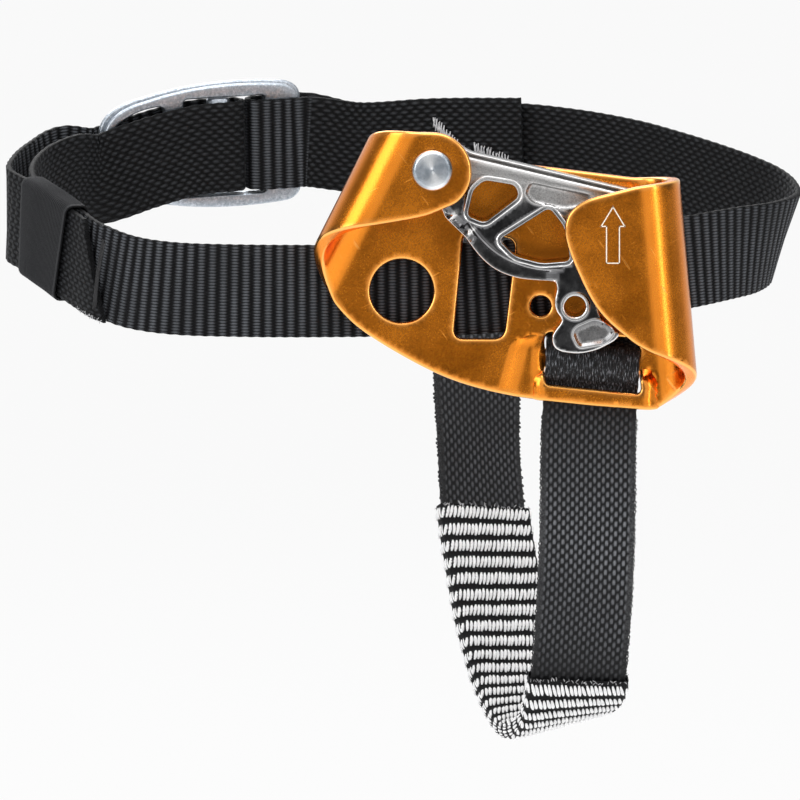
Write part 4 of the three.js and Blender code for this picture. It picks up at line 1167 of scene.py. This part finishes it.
def ribbed_webbing():
    """Black webbing with ribs across one face and a brick weave on the other."""
    look = Look("ribbed_webbing", Roughness=0.62, Sheen_Weight=0.04, Sheen_Roughness=0.45,
                Specular_IOR_Level=0.13)
    look.shader.inputs["Sheen Tint"].default_value = (0.6, 0.63, 0.68, 1)
    parts = look.tree.nodes.new("ShaderNodeSeparateXYZ")
    look.put(parts.inputs[0], look.weave())
    along, across = parts.outputs[0], parts.outputs[1]
    back = look.mark("back")
    rib = look.mark("relief")
    stacked = brick_relief(look, across, along, 0.66, RIB_PITCH)
    bricks = brick_relief(look, along, across, RIB_PITCH, 0.95)
    dust = look.noise(look.place(), 800, 3)
    broad = look.noise(look.place(), 60, 2)
    filaments = look.noise(look.stretch(look.weave(), (1600, 9000, 0)), 1.0, 2, 0.6)
    outer = look.math("MULTIPLY", rib, look.span(stacked, 0.0, 1.0, 0.45, 1.0))
    outer = look.math("MULTIPLY", outer, look.span(filaments, 0.3, 0.7, 0.75, 1.2))
    inner = look.math("MULTIPLY", bricks, look.span(filaments, 0.3, 0.7, 0.7, 1.2))
    # painted light: rib and float crests are painted lighter, the grooves between them near-black painted
    # shade
    light = look.colours(outer, [(0.22, (0.0, 0.0, 0.0004)), (0.5, (0.016, 0.017, 0.019)),
                                 (0.95, (0.088, 0.094, 0.105))])
    dark = look.colours(inner, [(0.15, (0.0, 0.0, 0.0002)), (0.65, (0.004, 0.0043, 0.005)),
                                (0.98, (0.034, 0.036, 0.040))])
    base = look.blend(back, dark, light)
    base = look.blend(look.span(dust, 0.6, 0.8, 0.0, 0.2), base, (0.05, 0.05, 0.054))
    look.set("Base Color", look.blend(look.span(broad, 0.35, 0.7, 0.0, 0.35), base, (0.003, 0.003, 0.0035)))
    weave_height = look.node("ShaderNodeMix", {0: back, 2: look.math("MULTIPLY", bricks, 1.0),
                                               3: look.math("MULTIPLY", stacked, 0.7)})
    look.bump(weave_height, 0.3, 0.9)
    look.bump(filaments, 0.05, 0.6)
    return look.material


def foot_webbing():
    """Black webbing in a brick weave whose floats get a painted grey highlight and dark painted shade between
    them, with a fuzzy knitted edge.
    """
    look = Look("brick_webbing", Roughness=0.65, Sheen_Weight=0.05, Sheen_Roughness=0.4,
                Specular_IOR_Level=0.25)
    look.shader.inputs["Sheen Tint"].default_value = (0.6, 0.62, 0.66, 1)
    relief = look.mark("relief")
    rim = look.mark("rim")
    filaments = look.noise(look.stretch(look.weave(), (900, 8000, 0)), 1.0, 2, 0.6)
    fuzz = look.noise(look.place(), 2200, 3, 0.7)
    broad = look.noise(look.place(), 45, 2)
    height = look.math("MULTIPLY", relief, look.span(filaments, 0.3, 0.7, 0.7, 1.2))
    # painted light: floats lighter on their crests, near black between them
    base = look.colours(height, [(0.1, (0.001, 0.001, 0.0015)), (0.45, (0.034, 0.036, 0.040)),
                                 (0.9, (0.165, 0.170, 0.184))])
    edge = look.colours(fuzz, [(0.35, (0.008, 0.008, 0.009)), (0.65, (0.075, 0.076, 0.08))])
    base = look.blend(rim, base, edge)
    # painted light and shade from the lit mark: the front run paler in its middle, darker towards its ends
    # and beyond
    base = look.blend(look.span(look.mark("lit"), 0.0, 1.0, 0.9, 0.0), base, (0.001, 0.001, 0.0015))
    wear_and_glint = look.mark("wear_and_glint")
    standing = look.noise(look.stretch(look.weave(), (700, 4200, 0)), 1.0, 3, 0.65)
    fibres = look.colours(standing, [(0.42, (0.001, 0.001, 0.001)), (0.56, (0.03, 0.031, 0.034)),
                                     (0.72, (0.5, 0.53, 0.58))])
    base = look.blend(wear_and_glint, base, fibres)
    look.set("Base Color", look.blend(look.span(broad, 0.35, 0.65, 0.0, 0.4), base, (0.006, 0.006, 0.007)))
    look.bump(filaments, 0.06, 0.7)
    look.bump(fuzz, 0.2, look.math("MULTIPLY", rim, 0.9))
    look.bump(standing, 0.4, wear_and_glint)
    return look.material


def make_selvedge(material):
    """Small knitted loops along both edges of the foot strap."""
    parts = []
    for side in (-1, 1):
        at = foot_route.length_at(SELVEDGE_FROM)
        while at < foot_route.length_at(SELVEDGE_TO):
            turn = np.linspace(0, math.pi, 5)
            reach = FOOT_WIDTH / 2 - 0.12 + np.sin(turn) * rng.uniform(0.25, 0.5)
            path = foot_route.points(at + 0.42 * np.cos(turn), side * reach,
                                     rng.uniform(-0.4, 0.4) + 0.35 * np.cos(turn))
            parts.append(tube(path, 0.17, sides=5, taper=0.8))
            at += rng.uniform(0.85, 1.05)
    points, faces = merged(parts)
    piece("foot_selvedge", points, faces, "frame", material, smooth_angle=70)


def make_straps(ankle, foot):
    strap("ankle_webbing", strap_route, 0, strap_route.last, STRAP_WIDTH, (flat_weave, ribs), 13, 0.42, 0.3,
          "frame", ankle, ["ankle_strap"], end_cut=TAIL_CUT, flat_until=SEWN_LAYER_END)
    strap("foot_webbing", foot_route, 0, foot_route.last, FOOT_WIDTH, (dashes, dashes), 85, 0.42, 0.22,
          "frame", foot, ["foot_strap"], wear_and_glint=OVER_THE_BAR, lit=FRONT_RUN)


# ------------------------------------------------------------------ wear sleeve and keeper
def rounded_ring(width, depth, radius, steps=5, columns=12, rows=4):
    """Points round a rounded rectangle as (across, off) pairs, with unit normals."""
    points, normals = [], []
    half_w, half_d = width / 2, depth / 2
    for cx, cd, start in ((1, 1, 90), (1, -1, 0), (-1, -1, -90), (-1, 1, -180)):
        for angle in np.radians(np.linspace(start, start - 90, steps)):
            points.append((cx * (half_w - radius) + radius * math.cos(angle),
                           cd * (half_d - radius) + radius * math.sin(angle)))
            normals.append((math.cos(angle), math.sin(angle)))
        count = rows if cx == 1 and cd == 1 or cx == -1 and cd == -1 else columns
        step = ((0, -1), (-1, 0), (0, 1), (1, 0))[((1, 1), (1, -1), (-1, -1), (-1, 1)).index((cx, cd))]
        span = (depth if step[0] == 0 else width) - 2 * radius
        corner = points[-1]
        for k in range(1, count):
            points.append((corner[0] + step[0] * span * k / count, corner[1] + step[1] * span * k / count))
            normals.append(normals[-1])
    return np.array(points), np.array(normals)


def band(name, route, start, end, width, depth, wall, radius, offset, swell, step, body, material,
         replaces, columns=12):
    """A flat tube of cloth round webbing; swell(along) is how far its wall stands out at a place."""
    first, last = route.length_at(start), route.length_at(end)
    along = np.linspace(first, last, int((last - first) / step) + 1)
    outline, normals = rounded_ring(width, depth, radius, columns=columns)
    inner, _ = rounded_ring(width - 2 * wall, depth - 2 * wall, max(0.15, radius - wall), columns=columns)
    lift = swell(along, first, last)
    layers = []
    for shape, out, amount in ((outline, normals, lift), (inner, normals, 0 * lift)):
        v = shape[None, :, 0] + out[None, :, 0] * amount[:, None]
        n = shape[None, :, 1] + out[None, :, 1] * amount[:, None]
        layers.append(route.points(np.broadcast_to(along[:, None], v.shape), v, n + offset))
    count = len(outline)
    rows = np.concatenate([layers[0], layers[1][::-1]])
    faces = grid_faces(len(rows), count, wrap_columns=True, wrap_rows=True).tolist()
    ring_length = np.concatenate([[0], np.cumsum(np.linalg.norm(np.diff(outline, axis=0), axis=1))])
    s = np.concatenate([along, along[::-1]])
    weave = np.stack(np.meshgrid(s, ring_length, indexing="ij"), axis=-1)
    relief = np.concatenate([(lift - lift.min()) / np.ptp(lift), 0 * lift])
    return piece(name, rows.reshape(-1, 3), faces, body, material, replaces, smooth_angle=60,
                 weave=weave.reshape(-1, 2), marks={"relief": np.repeat(relief, count)})


STRIPE_PITCH = 3.8
SLEEVE_WIDTH = FOOT_WIDTH + 2 * (CLEAR + SLEEVE_WALL)
SLEEVE_DEPTH = WEBBING + 2 * (CLEAR + SLEEVE_WALL)


def make_sleeve(cloth, thread, fray):
    first, last = foot_route.length_at(SLEEVE_FROM), foot_route.length_at(SLEEVE_TO)

    def swell(along, low, high):
        wave = 0.5 + 0.5 * np.cos(2 * math.pi * (high - 1.9 - along) / STRIPE_PITCH)
        return -0.32 + 0.27 * wave

    band("sleeve_cloth", foot_route, SLEEVE_FROM, SLEEVE_TO, SLEEVE_WIDTH, SLEEVE_DEPTH, 0.5, 1.1, 0.0, swell,
         0.5, "frame", cloth, ["wear_sleeve"])
    floats = 24
    parts = []
    half = SLEEVE_WIDTH / 2 - 0.55
    middle = last - 1.9
    while middle > first + 1.4:
        for side in (1, -1):
            for k in range(floats):
                v = -half + 2 * half * k / (floats - 1) + rng.uniform(-0.08, 0.08)
                length = 2.55 + rng.uniform(-0.2, 0.2)
                slant = rng.uniform(0.25, 0.5)
                share = np.linspace(-1, 1, 5)
                s = middle + rng.uniform(-0.12, 0.12) + share * length / 2
                lift = SLEEVE_DEPTH / 2 - 0.22 + 0.24 * (1 - share ** 2) - 0.45 * (abs(v) / half) ** 14
                path = foot_route.points(s, v + share * slant, side * lift)
                parts.append(tube(path, 0.44 + rng.uniform(-0.03, 0.03), sides=6, taper=0.45))
        for v_side in (1, -1):
            for n in (-0.75, 0.0, 0.75):
                share = np.linspace(-1, 1, 5)
                s = middle + share * 1.2
                reach = SLEEVE_WIDTH / 2 - 0.22 - 0.35 * (n / 0.75) ** 2 * 0.5 + 0.12 * (1 - share ** 2)
                path = foot_route.points(s, v_side * reach, np.full(5, n))
                parts.append(tube(path, 0.36, sides=6, taper=0.45))
        middle -= STRIPE_PITCH
    points, faces = merged(parts)
    piece("sleeve_stripes", points, faces, "frame", thread, smooth_angle=70)
    parts = []
    for end, away in ((first, -1), (last, 1)):
        for _ in range(70):
            v = rng.uniform(-half - 0.5, half + 0.5)
            side = rng.choice((-1, 1))
            at = end - away * rng.uniform(0.1, 0.9)
            reach = rng.uniform(0.3, 0.9)
            share = np.array([0, 0.5, 1.0])
            bend = rng.uniform(-0.7, 0.7)
            s = at + away * reach * share
            lift = side * (SLEEVE_DEPTH / 2 - 0.15 + rng.uniform(-0.1, 0.25) * share)
            path = foot_route.points(s, v + bend * share ** 2, lift)
            parts.append(tube(path, rng.uniform(0.07, 0.13), sides=5, taper=0.6))
    points, faces = merged(parts)
    piece("sleeve_fray", points, faces, "frame", fray, smooth_angle=70)


def make_keeper(elastic, thread):
    pitch = 0.62

    def swell(along, low, high):
        rib = 0.5 + 0.5 * np.cos(2 * math.pi * along / pitch)
        hem = 1 - smoothstep(np.minimum(along - low, high - along), 0.7, 1.1)
        return -0.16 + 0.16 * rib * (1 - hem) + 0.12 * hem

    band("elastic_keeper", strap_route, KEEPER_FROM, KEEPER_TO, STRAP_WIDTH + 2 * (CLEAR + KEEPER_WALL),
         KEEPER_DEPTH, KEEPER_CLOTH, 1.9, -LAYER / 2, swell, pitch / 4, "keeper", elastic,
         ["strap_keeper"], columns=20)
    parts = []
    for k in range(18):
        v = -8 + 16 * k / 17
        for way in (-1, 1):
            s = strap_route.length_at(TAIL_START + 3.35) + np.linspace(-0.5, 0.5, 4)
            lift = KEEPER_DEPTH / 2 - LAYER / 2 + 0.05 + 0.22 * np.sin(np.linspace(0, math.pi, 4))
            path = strap_route.points(s, v + way * np.linspace(-0.4, 0.4, 4), lift)
            parts.append(tube(path, 0.17, sides=6, taper=0.8))
    points, faces = merged(parts)
    piece("keeper_thread", points, faces, "keeper", thread, ["keeper_stitch"], smooth_angle=70)


# ------------------------------------------------------------------ sewing
def bartack(name, route, start, end, width, side, shift, stitches, thread, replaces, mess=0.25, radius=0.17):
    """Dense zigzag stitches: each crosses the tack, and a few are loose."""
    first, last = route.length_at(start), route.length_at(end)
    parts = []
    for k in range(stitches):
        share = (k + 0.5) / stitches
        middle = shift[0] + (shift[1] - shift[0]) * share
        way = 1 if k % 2 else -1
        reach = width / 2 * rng.uniform(1 - mess, 1 + mess)
        t = np.linspace(-1, 1, 6)
        s = first + (last - first) * share + t * (last - first) / stitches * 0.9 + rng.uniform(-0.15, 0.15)
        lift = side * (WEBBING / 2 + 0.02 + (0.42 + rng.uniform(0, mess)) * (1 - t ** 2))
        path = route.points(s, middle + way * t * reach, lift)
        parts.append(tube(path, radius * rng.uniform(0.85, 1.15), sides=6, taper=0.8))
    points, faces = merged(parts)
    piece(name, points, faces, "frame", thread, replaces, smooth_angle=70)


def make_sewing(grey, black):
    bartack("rear_stitch_left", strap_route, 0.64, 1.02, 2.7, -1, (-3, 5), 27, grey, ["rear_bartack_left"])
    bartack("rear_stitch_right", strap_route, 0.16, 0.55, 3.3, -1, (-4.6, -1.6), 23, grey,
            ["rear_bartack_right"])
    bartack("front_stitch_upper", foot_route, 0.2, 0.38, 16, -1, (0, 0), 9, black,
            ["front_bartack_upper"], 0.05)
    bartack("front_stitch_lower", foot_route, 1.2, 1.45, 16, -1, (0, 0), 9, black,
            ["front_bartack_lower"], 0.05)
    last = strap_route.last
    end = strap_route.length_at(last)
    fibres, reach_back = 170, 9.5
    parts = []
    for _ in range(fibres):
        across = rng.uniform(-0.5, -0.47) * STRAP_WIDTH
        at = end - rng.uniform(0.2, reach_back)
        share = np.array([0, 0.5, 1.0])
        reach = rng.uniform(0.2, 0.65)
        path = strap_route.points(at - 0.25 + reach * share, across + rng.uniform(-0.5, 0.5) * share,
                                  rng.uniform(-0.8, 0.9) + 0.15 * share)
        parts.append(tube(path, rng.uniform(0.06, 0.11), sides=5, taper=0.5))
    points, faces = merged(parts)
    piece("tail_fray", points, faces, "frame", grey, smooth_angle=70)
    bartack("tail_stitch", strap_route, last - 0.62, last - 0.45, 15, 1, (0, 0), 6, black,
            ["tail_hem_stitch"], 0.05)


# ------------------------------------------------------------------ studio
def make_camera():
    data = bpy.data.cameras.new("camera")
    data.sensor_width = 36
    data.lens = data.sensor_width * CAMERA_DISTANCE / VIEW_WIDTH
    data.clip_end = 60
    camera = bpy.data.objects.new("camera", data)
    bpy.context.scene.collection.objects.link(camera)
    back = Vector((0, -math.cos(CAMERA_ELEVATION), math.sin(CAMERA_ELEVATION)))
    camera.location = VIEW_CENTRE + back * CAMERA_DISTANCE
    camera.rotation_mode = "QUATERNION"
    camera.rotation_quaternion = (-back).to_track_quat("-Z", "Y")
    bpy.context.scene.camera = camera


# How bright the surroundings are at an angle, in degrees, from the direction of the camera.
SURROUNDINGS = [(0, 0.12), (8, 0.16), (17, 1.12), (55, 0.92), (76, 0.14), (104, 0.16), (128, 0.95)]


def softbox(name, place, size, power, aim=(0, -0.04, -0.01)):
    data = bpy.data.lights.new(name, "AREA")
    data.shape = "RECTANGLE"
    data.size, data.size_y = size
    data.energy = power
    light = bpy.data.objects.new(name, data)
    bpy.context.scene.collection.objects.link(light)
    light.location = place
    light.rotation_mode = "QUATERNION"
    light.rotation_quaternion = (Vector(aim) - Vector(place)).to_track_quat("-Z", "Y")


def pale_floor():
    """A matt pale floor that looks evenly lit, with a trace of shadow."""
    look = Look("pale_floor", Roughness=0.9)
    tone = look.noise(look.place(), 3, 2)
    look.set("Base Color", look.colours(tone, [(0.3, (0.8, 0.8, 0.8)), (0.7, (0.83, 0.83, 0.83))]))
    glow = look.tree.nodes.new("ShaderNodeEmission")
    glow.inputs["Color"].default_value = (*PALE, 1)
    rays = look.tree.nodes.new("ShaderNodeLightPath")
    mix = look.tree.nodes.new("ShaderNodeMixShader")
    look.put(mix.inputs[0], look.math("MULTIPLY", rays.outputs["Is Camera Ray"], 0.95))
    look.put(mix.inputs[1], look.shader.outputs[0])
    look.put(mix.inputs[2], glow.outputs[0])
    look.put(look.tree.nodes["Material Output"].inputs["Surface"], mix.outputs[0])
    return look.material


def make_studio():
    world = bpy.data.worlds.new("studio")
    bpy.context.scene.world = world
    bpy.context.scene.view_settings.view_transform = "Standard"
    world.use_nodes = True
    tree = world.node_tree
    tree.nodes.clear()
    output = tree.nodes.new("ShaderNodeOutputWorld")
    seen, lit = tree.nodes.new("ShaderNodeBackground"), tree.nodes.new("ShaderNodeBackground")
    seen.inputs["Color"].default_value = (*PALE, 1)
    direction = tree.nodes.new("ShaderNodeTexCoord")
    parts = tree.nodes.new("ShaderNodeSeparateXYZ")
    tree.links.new(direction.outputs["Generated"], parts.inputs[0])
    # By the angle from straight in front: a dark spot behind the camera, dim sides, a bright back.
    back = tree.nodes.new("ShaderNodeMath")
    back.operation = "MULTIPLY"
    back.inputs[1].default_value = -1
    tree.links.new(parts.outputs["Y"], back.inputs[0])
    angle = tree.nodes.new("ShaderNodeMath")
    angle.operation = "ARCCOSINE"
    tree.links.new(back.outputs[0], angle.inputs[0])
    share = tree.nodes.new("ShaderNodeMath")
    share.operation = "DIVIDE"
    share.inputs[1].default_value = math.pi
    tree.links.new(angle.outputs[0], share.inputs[0])
    around = tree.nodes.new("ShaderNodeValToRGB")
    while len(around.color_ramp.elements) < len(SURROUNDINGS):
        around.color_ramp.elements.new(0.5)
    for element, (degrees, level) in zip(around.color_ramp.elements, SURROUNDINGS):
        element.position, element.color = degrees / 180, (level, level, level, 1)
    tree.links.new(share.outputs[0], around.inputs[0])
    top = tree.nodes.new("ShaderNodeMapRange")
    tree.links.new(parts.outputs["Z"], top.inputs[0])
    for index, value in zip((1, 2, 3, 4), (0.35, 0.85, 0.0, 0.9)):
        top.inputs[index].default_value = value
    total = tree.nodes.new("ShaderNodeMath")
    total.operation = "ADD"
    tree.links.new(around.outputs[0], total.inputs[0])
    tree.links.new(top.outputs[0], total.inputs[1])
    tree.links.new(total.outputs[0], lit.inputs["Strength"])
    rays = tree.nodes.new("ShaderNodeLightPath")
    mix = tree.nodes.new("ShaderNodeMixShader")
    tree.links.new(rays.outputs["Is Camera Ray"], mix.inputs[0])
    tree.links.new(lit.outputs[0], mix.inputs[1])
    tree.links.new(seen.outputs[0], mix.inputs[2])
    tree.links.new(mix.outputs[0], output.inputs["Surface"])
    softbox("left_softbox", (-0.95, -0.62, 0.45), (0.6, 0.9), 4.8)
    softbox("top_softbox", (0.1, -0.35, 1.0), (0.9, 0.4), 6)
    softbox("right_strip", (0.85, -0.75, 0.25), (0.12, 0.9), 1.6)
    softbox("back_softbox", (-0.3, 0.9, 0.7), (0.8, 0.6), 5)

    mesh = bpy.data.meshes.new("floor")
    reach, front = 30, -0.6
    mesh.from_pydata([(x, y, FLOOR_Z) for x, y in ((-reach, front), (reach, front), (reach, reach),
                                                  (-reach, reach))], [], [(0, 1, 2, 3)])
    floor = bpy.data.objects.new("floor", mesh)
    bpy.context.scene.collection.objects.link(floor)
    mesh.materials.append(pale_floor())


make_camera()
make_studio()
make_shell(anodised())
make_arrow(marking())
make_cam(cast_steel())
make_pivot(turned_steel(), plain_steel())
make_buckle(buckle_steel())
make_straps(ribbed_webbing(), foot_webbing())
make_selvedge(thread_look("selvedge_grey", (0.012, 0.012, 0.013), (0.06, 0.061, 0.066)))
make_sleeve(woven("sleeve_black", (0.001, 0.001, 0.0015), (0.014, 0.014, 0.016), 0.3, 1.2),
            thread_look("white_floats", (0.86, 0.86, 0.87), (1.0, 1.0, 1.0)),
            thread_look("frayed_hem", (0.16, 0.16, 0.17), (0.62, 0.62, 0.63)))
make_keeper(woven("elastic_black", (0.0, 0.0, 0.0005), (0.028, 0.029, 0.032), 0.25, 0.6),
            thread_look("keeper_black", (0.012, 0.012, 0.013), (0.03, 0.03, 0.032)))
make_sewing(thread_look("grey_thread", (0.3, 0.3, 0.31), (0.66, 0.66, 0.67)),
            thread_look("black_thread", (0.012, 0.012, 0.013), (0.03, 0.03, 0.032)))

bpy.context.view_layer.update()
